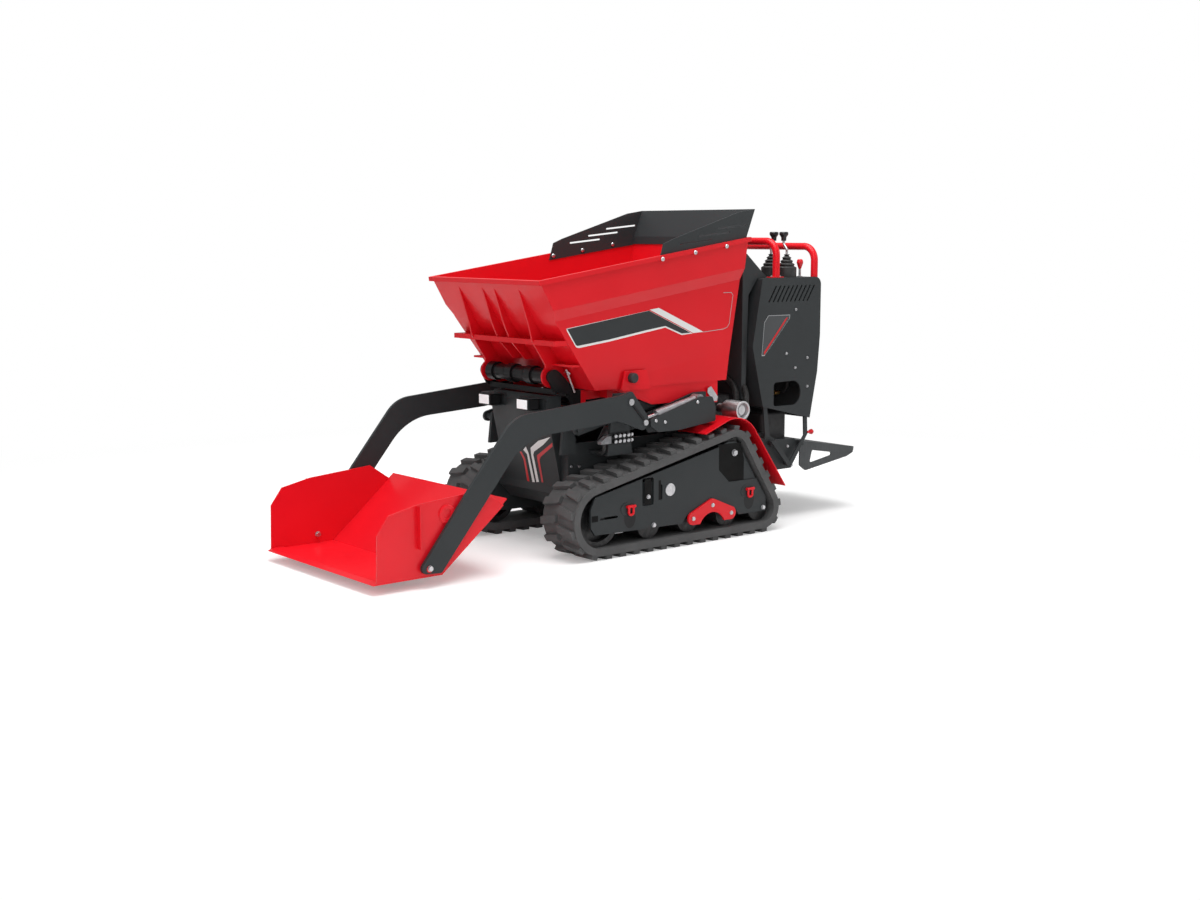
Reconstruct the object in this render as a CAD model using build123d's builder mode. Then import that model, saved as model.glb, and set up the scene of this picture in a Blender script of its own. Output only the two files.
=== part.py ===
"""Tracked site dumper with a front shovel, a high tip hopper and a folding rear step.

+X points forward to the shovel, +Y to the machine's left, +Z up, in millimetres.
The origin is on the ground, at the middle of the machine's length and width.
"""

import math
import os

from build123d import *

# Driving dimensions: clearances
SEAT_GAP = 0.3                # between pieces bolted or resting on each other
BORE_CLEARANCE = 0.05         # on the radius, between a pin and its bore
WHEEL_CLEARANCE = 0.3         # between a wheel and the rubber band round it
RUNNING_GAP = 6.0             # between pieces that move past each other

# Driving dimensions: rubber tracks and their wheels
TRACK_PITCH = 72.0            # length of one link of the rubber track
TRACK_WIDTH = 200.0
TRACK_OUTER_Y = 445.0         # outer face of each track
BAND_THICKNESS = 30.0
LUG_HEIGHT = 17.0
LUG_LENGTH = 30.0
LUG_SLANT = 18.0              # how far a lug leans along the track over its width
LUG_ROOT = 4.0                # depth of a lug's root inside the band
LUG_SIDE_GAP = 5.0
IDLER_X = 325.0
IDLER_RADIUS = 111.0
IDLER_RIM = 22.0
WHEEL_RECESS = 30.0
SPROCKET_X = -401.0
SPROCKET_Z = 361.0
SPROCKET_RADIUS = 68.0
SPROCKET_TEETH = 8
SPROCKET_GULLET = 14.0
ROLLER_RADIUS = 60.0
ROLLER_WIDTH = 120.0
FRONT_ROLLER_X = 50.0
REAR_ROLLER_X = -577.0
BOGIE_ROLLER_XS = (-167.0, -385.0)
AXLE_RADIUS = 12.0
HUB_RADIUS = 30.0

# Driving dimensions: track frames, fenders and shackles
FRAME_PLATE = 10.0
FRAME_OUTER_Y = 430.0
FRAME_INNER_Y = 262.0
WHEEL_SIDE_GAP = 6.0
FRAME_POCKET = 5.0            # the stepped back area of the outer plate round the sprocket
FRAME_BOX_REAR_X = -260.0
FRAME_BOX_FRONT_X = 140.0
FRAME_BOX_LOW_Z = 185.0
FRAME_BOX_HIGH_Z = 285.0
BOGIE_PLATE = 9.0
BOGIE_BOLT_Z = 152.0
BOGIE_ARM_RADIUS = 27.0
BOGIE_HOLLOW_RADIUS = 78.0
FENDER_SHEET = 4.0
FENDER_TOP_Z = 507.0
FENDER_TAB = 60.0
SHACKLE_XS = (171.0, -498.0)
SHACKLE_Z = 180.0
SHACKLE_WIRE = 5.0
SHACKLE_BEND = 12.0
SHACKLE_LEG = 34.0
SHACKLE_PAD = 2.0

# Driving dimensions: chassis
CHASSIS_HALF_WIDTH = 235.0
CHASSIS_PLATE = 10.0
CHASSIS_REAR_X = -700.0
CHASSIS_FRONT_X = 330.0
CHASSIS_BOTTOM_Z = 165.0
CHASSIS_TOP_Z = 440.0
CHASSIS_CHIN = 60.0
CROSS_TUBE_XS = (150.0, -300.0)
CROSS_TUBE_Z = 235.0
CROSS_TUBE_RADIUS = 25.0
CHEEK_PLATE = 16.0
CHEEK_FOOT = 40.0
CHEEK_HEAD = 24.0
TOWER_FOOT_Z = 394.0
TOWER_FOOT = 66.0
TOWER_HEAD = 30.0
TOWER_PLATE = 12.0
TOWER_OUTER_Y = 350.0
LIFT_LUG_PLATE = 12.0
LIFT_LUG_HEAD = 24.0
LIFT_LUG_FOOT = 50.0

# Driving dimensions: loader arms, shovel and their rams
ARM_PIVOT_X = 156.0
ARM_PIVOT_Z = 612.0
ARM_INNER_Y = 403.0
ARM_PLATE = 14.0
ARM_PIN_RADIUS = 13.0
ARM_PIN_PROUD = 6.0
ARM_RAM_X = 78.0
ARM_RAM_Z = 524.0
ARM_PAD_RADIUS = 22.0
SHOVEL_PIN_X = 1113.0
SHOVEL_PIN_Z = 72.0
SHOVEL_HALF_WIDTH = 397.0
SHOVEL_SHEET = 6.0
SHOVEL_FLOOR_Z = 38.0
SHOVEL_EDGE_X = 1338.0
SHOVEL_BEVEL = 22.0
SHOVEL_EDGE = 10.0            # thickness of the cutting edge
SHOVEL_HEEL_X = 1047.0
SHOVEL_LIP_X = 753.0
SHOVEL_LIP_Z = 288.0
SHOVEL_STOP_X = 1145.0        # the upright flange that stands in front of each arm
SHOVEL_STOP_Y = 417.0
LOADER_RAM_Y = 376.0
LOADER_RAM_BASE_X = -240.0
LOADER_RAM_BASE_Z = 592.0
LOADER_BARREL_RADIUS = 21.0
LOADER_ROD_RADIUS = 11.0
LOADER_BASE_EYE = 40.0        # width of the eye at the barrel's foot
LOADER_ROD_EYE = 26.0
BRACKET_INNER_Y = 346.0
BRACKET_GUARD_Y = 398.0
BRACKET_PLATE = 8.0

# Driving dimensions: parallel lift links, cradle and tip ram
LIFT_PIVOT_X = 60.0
LIFT_PIVOT_Z = 505.0
LIFT_PIN_X = -377.0
LIFT_PIN_Z = 602.0
LINK_SPACING = 277.0          # from the rear pair of links to the front pair
LINK_OUTER_Y = 312.0
LINK_PLATE = 12.0
LINK_HALF_WIDTH = 22.0
LINK_PIN_RADIUS = 12.0
LINK_TUBE_RADIUS = 17.0
CRADLE_OUTER_Y = 330.0
CRADLE_RAIL_WIDTH = 62.0
CRADLE_SHEET = 6.0
CRADLE_TOP_Z = 657.7
CRADLE_BOTTOM_Z = 582.0
CRADLE_HEEL_Z = 566.0
CRADLE_FRONT_X = 177.0
CRADLE_TAPER_X = -33.0
CRADLE_REAR_X = -402.0
CRADLE_CROSS_PLATE = 50.0
HORN_PLATE = 10.0
HORN_OUTER_Y = 232.0
HORN_HEAD_RADIUS = 30.0
LIFT_BASE_X = 40.0
LIFT_BASE_Z = 250.0
LIFT_EYE_X = -158.5
LIFT_EYE_Z = 553.5
LIFT_LUG_Y = 36.0
LIFT_EYE_WIDTH = 60.0
LIFT_BARREL_RADIUS = 30.0
LIFT_ROD_RADIUS = 16.0
TIP_PIVOT_X = 395.0
TIP_PIVOT_Z = 712.0
TIP_TUBE_RADIUS = 24.0
SLEEVE_RADIUS = 31.0
SLEEVE_RING_RADIUS = 38.0
SLEEVE_PITCH = 128.0
SLEEVE_LENGTH = 116.0
SLEEVE_RING_LENGTH = 42.0
TIP_BASE_X = 270.0
TIP_BASE_Z = 608.0
TIP_EYE_X = -30.0
TIP_EYE_Z = 634.0
TIP_LUG_Y = 28.0
TIP_LUG_PLATE = 10.0
TIP_EYE_WIDTH = 46.0
TIP_BARREL_RADIUS = 24.0
TIP_ROD_RADIUS = 13.0
ROD_OVERLAP = 60.0            # length of a rod left inside its barrel

# Driving dimensions: hopper and spill guard
HOPPER_RIM_FRONT_X = 571.0
HOPPER_RIM_FRONT_Z = 1097.0
HOPPER_RIM_REAR_X = -538.0
HOPPER_RIM_REAR_Z = 1257.0
HOPPER_KNEE_X = 498.0         # the front wall's upper fold
HOPPER_KNEE_Z = 972.0
HOPPER_BREAST_X = 470.0       # and its lower fold
HOPPER_BREAST_Z = 926.0
HOPPER_FLOOR_FRONT_X = 270.0
HOPPER_FLOOR_REAR_X = -449.0
HOPPER_FLOOR_Z = 658.0
HOPPER_HALF_WIDTH = 367.0
HOPPER_WAIST_STEP = 22.0      # how far the slanted band draws the sides in
HOPPER_FLOOR_STEP = 11.0      # and how far they lean in below it
HOPPER_BAND = 125.0           # upright band below the rim
HOPPER_CHAMFER = 46.0         # height of the slanted band below it
HOPPER_LEAN = 289.0
HOPPER_SHEET = 5.0
RIM_LIP = 9.0
RIM_LIP_HEIGHT = 18.0
RIB_PLATE = 8.0
PIVOT_RIB_Y = 204.0
MIDDLE_RIB_Y = 40.0
RIB_EYE_RADIUS = 44.0
CROSSBAR_Z = 842.0
CROSSBAR_HEIGHT = 20.0
GUARD_SHEET = 4.0
GUARD_TOP_X = -578.0
GUARD_TOP_Z = 1375.0
GUARD_SLOT_LENGTH = 175.0
GUARD_SLOT_HEIGHT = 7.0
GUARD_SLOT_TILT = -5.3        # degrees from level, falling to the front

# Driving dimensions: engine, cowl and lamps
ENGINE_X = -498.0
ENGINE_LENGTH = 204.0
ENGINE_WIDTH = 400.0
ENGINE_HEIGHT = 400.0
DRUM_X = -542.0
DRUM_Z = 521.0
DRUM_RADIUS = 40.0
DRUM_RIM = 8.0
DRUM_DEPTH = 24.0
DRUM_INNER_Y = 250.0
DRUM_OUTER_Y = 345.0
DRUM_NECK_RADIUS = 20.0
COVER_HALF_WIDTH = 270.0
COVER_SHEET = 6.0
COVER_FRONT_X = -604.0
COVER_LOW_Z = 560.0
COVER_TOP_Z = 1190.0
COWL_HALF_WIDTH = 190.0
COWL_SHEET = 5.0
COWL_FRONT_X = 404.0
COWL_TOP_Z = 632.0
LAMP_Y = 130.0
LAMP_WIDTH = 88.0
LAMP_LOW_Z = 579.0
LAMP_HEIGHT = 45.0
LAMP_DEPTH = 52.0
LAMP_FRONT_X = 480.0
LAMP_ROUND = 6.0
LAMP_BRACKET_SHEET = 3.0
VALVE_PLATE = 4.0
SPOOL_RADIUS = 8.0
SPOOL_LENGTH = 5.0
SPOOL_PITCH = 22.0
SPOOL_COLUMNS = 4

# Driving dimensions: operator console, hoops and levers
CONSOLE_HALF_WIDTH = 300.0
CONSOLE_SHEET = 6.0
CONSOLE_TOP_Z = 1081.0
CONSOLE_FRONT_X = -696.0
CONSOLE_REAR_X = -1068.0
LOUVRE_COUNT = 10
LOUVRE_PITCH = 27.0
LOUVRE_LENGTH = 84.0
LOUVRE_WIDTH = 8.0
LOUVRE_LEAN = 57.0            # degrees from level
LOUVRE_X = -881.0
LOUVRE_Z = 1011.0
HOOP_HALF_WIDTH = 280.0
HOOP_RADIUS = 16.0
HOOP_BEND = 62.0
FRONT_HOOP_X = -799.0
FRONT_HOOP_TOP_Z = 1239.0
REAR_HOOP_X = -1043.0
REAR_HOOP_TOP_Z = 1215.0
LEVER_X = -900.0
LEVER_YS = (150.0, 246.0)
BOOT_RADIUS = 44.0
BOOT_SKIRT = 42.0             # height of the boot's straight skirt
BOOT_HEIGHT = 100.0
BOOT_NECK_RADIUS = 13.0
BOOT_FOLDS = 4
BOOT_FOLD_DEPTH = 4.0
LEVER_ROD_RADIUS = 5.5
KNOB_TOP_Z = 1280.0
KNOB_HEIGHT = 40.0
KNOB_RADIUS = 20.0
SPEED_LEVER_X = -992.0
SPEED_LEVER_Y = 240.0

# Driving dimensions: rear carrier, tank and folding step
STEP_HINGE_X = -985.0
STEP_HINGE_Z = 330.0
STEP_PIN_RADIUS = 6.0
STEP_HALF_WIDTH = 280.0
STEP_SHEET = 5.0
STEP_REAR_X = -1338.0
CARRIER_GAP = 8.0             # between the step's cheeks and the carrier's plates
CARRIER_PLATE = 10.0
CARRIER_FLOOR_Z = 358.0
CARRIER_FLOOR_REAR_X = -952.0
BRACE_BAR = 7.0
BOSS_RADIUS = 12.0
TANK_HEIGHT = 118.0
TANK_WIDTH = 440.0
TANK_ROUND = 22.0

ground_to_band = BAND_THICKNESS + LUG_HEIGHT
track_middle_y = TRACK_OUTER_Y - TRACK_WIDTH / 2
track_inner_y = TRACK_OUTER_Y - TRACK_WIDTH
idler_z = ground_to_band + IDLER_RADIUS
roller_z = ground_to_band + ROLLER_RADIUS
rim_run = HOPPER_RIM_FRONT_X - HOPPER_RIM_REAR_X
rim_rise = HOPPER_RIM_REAR_Z - HOPPER_RIM_FRONT_Z
rim_length = math.hypot(rim_run, rim_rise)


def across(y):
    """The upright plane at this y, whose sketches are drawn in X and Z."""
    return Plane.XZ.offset(-y)


def plate(points, y_low, y_high, radius=0, mode=Mode.ADD):
    """A flat plate of this outline; radius rounds its corners, as one number or one for each."""
    with BuildSketch(across(y_high)) as outline:
        if radius:
            with BuildLine():
                FilletPolyline(*points, radius=radius, close=True)
            make_face()
        else:
            Polygon(*points)
    extrude(outline.sketch, amount=y_high - y_low, mode=mode)


def bar(x, z, radius, y_low, y_high, mode=Mode.ADD):
    """A round bar or bore along Y at x, z."""
    with BuildSketch(across(y_high)) as outline:
        with Locations((x, z)):
            Circle(radius)
    extrude(outline.sketch, amount=y_high - y_low, mode=mode)


def blade(first, second, radius, y_low, y_high):
    """A flat link with round ends between two pins."""
    with BuildSketch(across(y_high)) as outline:
        with Locations(first, second):
            Circle(radius)
        make_hull()
    extrude(outline.sketch, amount=y_high - y_low)


def folded(points, thickness, y_low, y_high):
    """A sheet bent along this line of points, seen from the side."""
    with BuildSketch(across(y_high)) as edge:
        with BuildLine():
            Polyline(*points)
        trace(line_width=thickness)
    extrude(edge.sketch, amount=y_high - y_low)


def trapezoid(x, z_foot, z_head, foot, head):
    """The outline of an upright lug that narrows from its foot to its head."""
    return [(x - foot, z_foot), (x - head, z_head), (x + head, z_head), (x + foot, z_foot)]


def save(piece, name):
    """Labels the finished piece and writes its file."""
    piece.label = name
    export_step(piece, f"parts/{name}.step")
    print(name, len(piece.solids()), round(piece.volume / 1000), piece.bounding_box())


os.makedirs("parts", exist_ok=True)


# Rubber track: one moulded loop round the idler, sprocket and rear roller, with two rows of
# slanted lugs half a pitch apart, so that they meet in a herringbone
with BuildPart() as track_left:
    with BuildSketch(across(TRACK_OUTER_Y)) as band:
        with Locations((IDLER_X, idler_z)):
            Circle(IDLER_RADIUS)
        with Locations((SPROCKET_X, SPROCKET_Z)):
            Circle(SPROCKET_RADIUS + WHEEL_CLEARANCE)
        with Locations((REAR_ROLLER_X, roller_z)):
            Circle(ROLLER_RADIUS)
        make_hull()
        inner_edges = band.sketch_local.face().outer_wire().edges()
        offset(amount=BAND_THICKNESS)
        tread_line = band.sketch_local.face().outer_wire()
        make_face(inner_edges, mode=Mode.SUBTRACT)
    extrude(amount=TRACK_WIDTH)
    lug_count = round(tread_line.length / TRACK_PITCH)
    row_width = TRACK_WIDTH / 2
    for row in (0, 1):
        seats = []
        for i in range(lug_count):
            share = (i + row / 2) / lug_count
            place = tread_line.position_at(share)
            run = tread_line.tangent_at(share)
            row_y = TRACK_OUTER_Y - (row + 0.5) * row_width
            seats.append(Plane(origin=(place.X, row_y, place.Y), x_dir=(run.X, 0, run.Y),
                               z_dir=(run.Y, 0, -run.X)).offset(-LUG_ROOT))
        lean = LUG_SLANT / 2 * (1 - 2 * row)
        reach = row_width / 2 - LUG_SIDE_GAP
        half = LUG_LENGTH / 2
        with BuildSketch(*seats):
            Polygon((-half - lean, -reach), (half - lean, -reach), (half + lean, reach),
                    (-half + lean, reach))
        extrude(amount=LUG_ROOT + LUG_HEIGHT)
    with BuildSketch(across(TRACK_OUTER_Y)):
        make_face(tread_line.edges())
        offset(amount=LUG_HEIGHT)
    extrude(amount=TRACK_WIDTH, mode=Mode.INTERSECT)
save(track_left.part, "track_left")

# Wheels inside the track: recessed idler, toothed sprocket and four plain rollers
wheel_low = FRAME_INNER_Y + FRAME_PLATE + WHEEL_SIDE_GAP
wheel_high = FRAME_OUTER_Y - FRAME_PLATE - WHEEL_SIDE_GAP
hub_low = FRAME_INNER_Y + FRAME_PLATE + SEAT_GAP
hub_high = FRAME_OUTER_Y - FRAME_PLATE - SEAT_GAP
with BuildPart() as idler_left:
    bar(IDLER_X, idler_z, IDLER_RADIUS - WHEEL_CLEARANCE, wheel_low, wheel_high)
    bar(IDLER_X, idler_z, IDLER_RADIUS - IDLER_RIM, wheel_low, wheel_low + WHEEL_RECESS, Mode.SUBTRACT)
    bar(IDLER_X, idler_z, IDLER_RADIUS - IDLER_RIM, wheel_high - WHEEL_RECESS, wheel_high, Mode.SUBTRACT)
    bar(IDLER_X, idler_z, HUB_RADIUS, hub_low, hub_high)
save(idler_left.part, "idler_left")

with BuildPart() as sprocket_left:
    with BuildSketch(across(wheel_high)):
        with Locations((SPROCKET_X, SPROCKET_Z)):
            Circle(SPROCKET_RADIUS)
            with PolarLocations(SPROCKET_RADIUS, SPROCKET_TEETH):
                Circle(SPROCKET_GULLET, mode=Mode.SUBTRACT)
    extrude(amount=wheel_high - wheel_low)
    bar(SPROCKET_X, SPROCKET_Z, HUB_RADIUS, hub_low, hub_high)
save(sprocket_left.part, "sprocket_left")

roller_xs = (FRONT_ROLLER_X, *BOGIE_ROLLER_XS, REAR_ROLLER_X)
with BuildPart() as rollers_left:
    for roller_x in roller_xs:
        bar(roller_x, roller_z, ROLLER_RADIUS - WHEEL_CLEARANCE, track_middle_y - ROLLER_WIDTH / 2,
            track_middle_y + ROLLER_WIDTH / 2)
        bar(roller_x, roller_z, AXLE_RADIUS, hub_low, hub_high)
save(rollers_left.part, "rollers_left")

# Track frame: two laser cut side plates joined by a box beam; the outer one is stepped back
# round the sprocket, slotted for the idler's adjuster and arched over the bogie
frame_outline = [(350, 100), (372, 130), (372, 205), (350, 250), (-318, 390), (-380, 408), (-425, 405),
                 (-452, 375), (-540, 240), (-600, 150), (-600, 92), (-440, 92), (-415, 124), (-140, 124),
                 (-112, 92)]
with BuildPart() as track_frame_left:
    for plate_low in (FRAME_OUTER_Y - FRAME_PLATE, FRAME_INNER_Y):
        plate(frame_outline, plate_low, plate_low + FRAME_PLATE)
    with BuildSketch(across(FRAME_OUTER_Y - FRAME_PLATE)):
        with Locations(((FRAME_BOX_REAR_X + FRAME_BOX_FRONT_X) / 2,
                        (FRAME_BOX_LOW_Z + FRAME_BOX_HIGH_Z) / 2)):
            Rectangle(FRAME_BOX_FRONT_X - FRAME_BOX_REAR_X, FRAME_BOX_HIGH_Z - FRAME_BOX_LOW_Z)
    extrude(amount=FRAME_OUTER_Y - FRAME_INNER_Y - 2 * FRAME_PLATE)
    pocket = [(-318, 420), (-319, 294), (-380, 237), (-640, 236), (-640, 420)]
    plate(pocket, FRAME_OUTER_Y - FRAME_POCKET, FRAME_OUTER_Y, mode=Mode.SUBTRACT)
    with BuildSketch(across(FRAME_OUTER_Y)):
        with Locations((75, 245)):
            RectangleRounded(62, 112, 8)
        with Locations((7.5, 236)):
            RectangleRounded(21, 63, 6)
        with Locations((279, 162)):
            SlotOverall(92, 10)
    extrude(amount=FRAME_PLATE, mode=Mode.SUBTRACT)
    with BuildSketch(across(FRAME_OUTER_Y + SHACKLE_PAD)):
        with Locations(*[(x + 14, SHACKLE_Z + 8) for x in SHACKLE_XS]):
            Ellipse(34, 26)
    extrude(amount=SHACKLE_PAD + 1)
save(track_frame_left.part, "track_frame_left")

bogie_middle_x = sum(BOGIE_ROLLER_XS) / 2
with BuildPart() as bogie_left:
    with BuildSketch(across(FRAME_OUTER_Y + SEAT_GAP + BOGIE_PLATE)):
        with Locations((BOGIE_ROLLER_XS[0], roller_z), (BOGIE_ROLLER_XS[1], roller_z),
                       (bogie_middle_x, BOGIE_BOLT_Z)):
            Circle(BOGIE_ARM_RADIUS)
        make_hull()
        with Locations((bogie_middle_x, roller_z - BOGIE_HOLLOW_RADIUS * 0.8)):
            Circle(BOGIE_HOLLOW_RADIUS, mode=Mode.SUBTRACT)
    extrude(amount=BOGIE_PLATE)
save(bogie_left.part, "bogie_left")

# Fender: one sheet rolled over the rear of the track, with two tabs against the chassis
fender_top = (-350, 498)
fender_bend = (-525, 436)
fender_tail = (-706, 190)
tab_low = CHASSIS_HALF_WIDTH + SEAT_GAP
with BuildPart() as fender_left:
    with BuildSketch(across(TRACK_OUTER_Y)):
        with BuildLine():
            Line((-228, 454), fender_top)
            ThreePointArc(fender_top, (SPROCKET_X, FENDER_TOP_Z), fender_bend)
            Line(fender_bend, fender_tail)
        trace(line_width=FENDER_SHEET)
    extrude(amount=TRACK_WIDTH)
    for share in (0.25, 0.6):
        tab_x = fender_bend[0] + share * (fender_tail[0] - fender_bend[0])
        tab_z = fender_bend[1] + share * (fender_tail[1] - fender_bend[1])
        slope = (fender_tail[1] - fender_bend[1]) / (fender_tail[0] - fender_bend[0])
        ear = [(tab_x, tab_z), (tab_x - FENDER_TAB / 2, tab_z - slope * FENDER_TAB / 2),
               (tab_x + FENDER_TAB / 4, tab_z - FENDER_TAB)]
        plate(ear, tab_low, tab_low + FENDER_SHEET)
        folded(((tab_x, tab_z), (tab_x - FENDER_TAB / 2, tab_z - slope * FENDER_TAB / 2)), FENDER_SHEET,
               tab_low, track_inner_y + FENDER_SHEET)
    folded(((-264, 467), (-324, 488.6)), FENDER_SHEET, tab_low, track_inner_y + FENDER_SHEET)
    plate([(-264, 467), (-324, 488.6), (-324, 400), (-264, 400)], tab_low, tab_low + FENDER_SHEET)
save(fender_left.part, "fender_left")

# Tow shackles: a bent bow whose round pin rests on the pad of the track frame
shackle_y = FRAME_OUTER_Y + SHACKLE_PAD + SEAT_GAP + SHACKLE_WIRE + 1
with BuildPart() as shackles_left:
    for x in SHACKLE_XS:
        with BuildLine() as bow:
            FilletPolyline((x - SHACKLE_BEND, shackle_y, SHACKLE_Z + SHACKLE_LEG / 2),
                           (x - SHACKLE_BEND, shackle_y, SHACKLE_Z - SHACKLE_LEG / 2),
                           (x + SHACKLE_BEND, shackle_y, SHACKLE_Z - SHACKLE_LEG / 2),
                           (x + SHACKLE_BEND, shackle_y, SHACKLE_Z + SHACKLE_LEG / 2),
                           radius=SHACKLE_BEND - 1)
        with BuildSketch(Plane(bow.line @ 0, z_dir=bow.line % 0)):
            Circle(SHACKLE_WIRE)
        sweep(path=bow.line)
        with BuildSketch(Plane.YZ.offset(x - SHACKLE_BEND - 2 * SHACKLE_WIRE)):
            with Locations((shackle_y, SHACKLE_Z + SHACKLE_LEG / 2)):
                Circle(SHACKLE_WIRE + 1)
        extrude(amount=2 * SHACKLE_BEND + 4 * SHACKLE_WIRE)
save(shackles_left.part, "shackles_left")

# Chassis: an open tub between the tracks, with cross tubes to the track frames, cheeks and
# shafts for the lift links, lugs for the lift ram and a tower for each loader arm
shaft_end = LINK_OUTER_Y + 8
tub = [(CHASSIS_REAR_X, CHASSIS_BOTTOM_Z + CHASSIS_CHIN), (CHASSIS_REAR_X, CHASSIS_TOP_Z),
       (CHASSIS_FRONT_X, CHASSIS_TOP_Z), (CHASSIS_FRONT_X, CHASSIS_BOTTOM_Z + CHASSIS_CHIN),
       (CHASSIS_FRONT_X - CHASSIS_CHIN, CHASSIS_BOTTOM_Z), (CHASSIS_REAR_X + CHASSIS_CHIN, CHASSIS_BOTTOM_Z)]
with BuildPart() as chassis:
    plate(tub, -CHASSIS_HALF_WIDTH, CHASSIS_HALF_WIDTH)
    offset(amount=-CHASSIS_PLATE, openings=faces().sort_by(Axis.Z)[-1])
    for x in CROSS_TUBE_XS:
        bar(x, CROSS_TUBE_Z, CROSS_TUBE_RADIUS, CHASSIS_HALF_WIDTH - 1, FRAME_INNER_Y - SEAT_GAP)
    for x in (LIFT_PIVOT_X, LIFT_PIVOT_X + LINK_SPACING):
        plate(trapezoid(x, CHASSIS_TOP_Z - CHEEK_FOOT, LIFT_PIVOT_Z + CHEEK_HEAD, CHEEK_FOOT, CHEEK_HEAD),
              CHASSIS_HALF_WIDTH, CHASSIS_HALF_WIDTH + CHEEK_PLATE)
        bar(x, LIFT_PIVOT_Z, LINK_PIN_RADIUS, CHASSIS_HALF_WIDTH + 4, shaft_end)
    plate(trapezoid(ARM_PIVOT_X, TOWER_FOOT_Z, ARM_PIVOT_Z + TOWER_HEAD, TOWER_FOOT, TOWER_HEAD),
          TOWER_OUTER_Y - TOWER_PLATE, TOWER_OUTER_Y)
    foot = [(ARM_PIVOT_X - TOWER_FOOT, TOWER_FOOT_Z), (ARM_PIVOT_X - TOWER_FOOT, TOWER_FOOT_Z + TOWER_PLATE),
            (ARM_PIVOT_X + TOWER_FOOT, TOWER_FOOT_Z + TOWER_PLATE), (ARM_PIVOT_X + TOWER_FOOT, TOWER_FOOT_Z)]
    plate(foot, CHASSIS_HALF_WIDTH - 1, TOWER_OUTER_Y)
    plate(trapezoid(LIFT_BASE_X, CHASSIS_BOTTOM_Z + CHASSIS_PLATE / 2, LIFT_BASE_Z + LIFT_LUG_HEAD,
                    LIFT_LUG_FOOT, LIFT_LUG_HEAD), LIFT_LUG_Y, LIFT_LUG_Y + LIFT_LUG_PLATE)
    mirror(about=Plane.XZ)
    bar(LIFT_BASE_X, LIFT_BASE_Z, LINK_PIN_RADIUS, -LIFT_LUG_Y - 4, LIFT_LUG_Y + 4)
save(chassis.part, "chassis")

# Loader arm pins: one turned pin each side, welded by its end to the tower's face
with BuildPart() as arm_pins:
    bar(ARM_PIVOT_X, ARM_PIVOT_Z, ARM_PIN_RADIUS, TOWER_OUTER_Y, ARM_INNER_Y + ARM_PLATE + ARM_PIN_PROUD)
    mirror(about=Plane.XZ)
save(arm_pins.part, "arm_pins")

# Ram bracket: an inner plate and an outer guard that hold the loader ram's foot pin between
# them, on a shelf and a leg that stand against the chassis
bracket_inner = [(24, 500), (24, 545), (-250, 618), (-320, 618), (-320, 505), (-120, 470), (0, 470)]
guard_outline = [(40, 505), (40, 532), (-225, 604), (-300, 604), (-320, 560), (-320, 500), (-120, 478),
                 (0, 478)]
with BuildPart() as ram_bracket_left:
    plate(bracket_inner, BRACKET_INNER_Y - BRACKET_PLATE, BRACKET_INNER_Y)
    plate(guard_outline, BRACKET_GUARD_Y, BRACKET_GUARD_Y + BRACKET_PLATE,
          radius=[10, 10, 14, 14, 0, 10, 20, 10])
    shelf = [(-320, 505), (-320, 513), (-180, 488), (-180, 480)]
    plate(shelf, CHASSIS_HALF_WIDTH + SEAT_GAP, BRACKET_INNER_Y)
    plate([(-256, 501), (-180, 486), (-196, 400), (-248, 400)], CHASSIS_HALF_WIDTH + SEAT_GAP,
          CHASSIS_HALF_WIDTH + SEAT_GAP + BRACKET_PLATE)
    plate([(-318, 501), (-318, 509), (-290, 504), (-290, 496)], BRACKET_INNER_Y - 1, BRACKET_GUARD_Y + 1)
    bar(LOADER_RAM_BASE_X, LOADER_RAM_BASE_Z, ARM_PIN_RADIUS, BRACKET_INNER_Y - 2, BRACKET_GUARD_Y + 2)
save(ram_bracket_left.part, "ram_bracket_left")

# Valve block on the tower below each arm: a plate with two rows of spool caps
valve_low = TOWER_OUTER_Y + SEAT_GAP
valve_outline = [(104, 440), (104, 484), (200, 484), (250, 480), (286, 456), (262, 440)]
with BuildPart() as valve_block:
    plate(valve_outline, valve_low, valve_low + VALVE_PLATE, radius=6)
    with BuildSketch(across(valve_low + VALVE_PLATE + SPOOL_LENGTH)):
        with Locations((155, 462)):
            with GridLocations(SPOOL_PITCH, SPOOL_PITCH, SPOOL_COLUMNS, 2):
                Circle(SPOOL_RADIUS)
    extrude(amount=SPOOL_LENGTH + 1)
    mirror(about=Plane.XZ)
save(valve_block.part, "valve_block")

# Front cowl: a folded sheet box on the nose of the chassis, open to the rear
cowl_back_x = CHASSIS_FRONT_X + SEAT_GAP
cowl_side = [(cowl_back_x, 256), (378, 474), (400, 575), (COWL_FRONT_X, 608), (384, COWL_TOP_Z),
             (cowl_back_x, COWL_TOP_Z)]
with BuildPart() as front_cowl:
    plate(cowl_side, -COWL_HALF_WIDTH, COWL_HALF_WIDTH)
    offset(amount=-COWL_SHEET, openings=faces().sort_by(Axis.X)[0])
save(front_cowl.part, "front_cowl")

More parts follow.
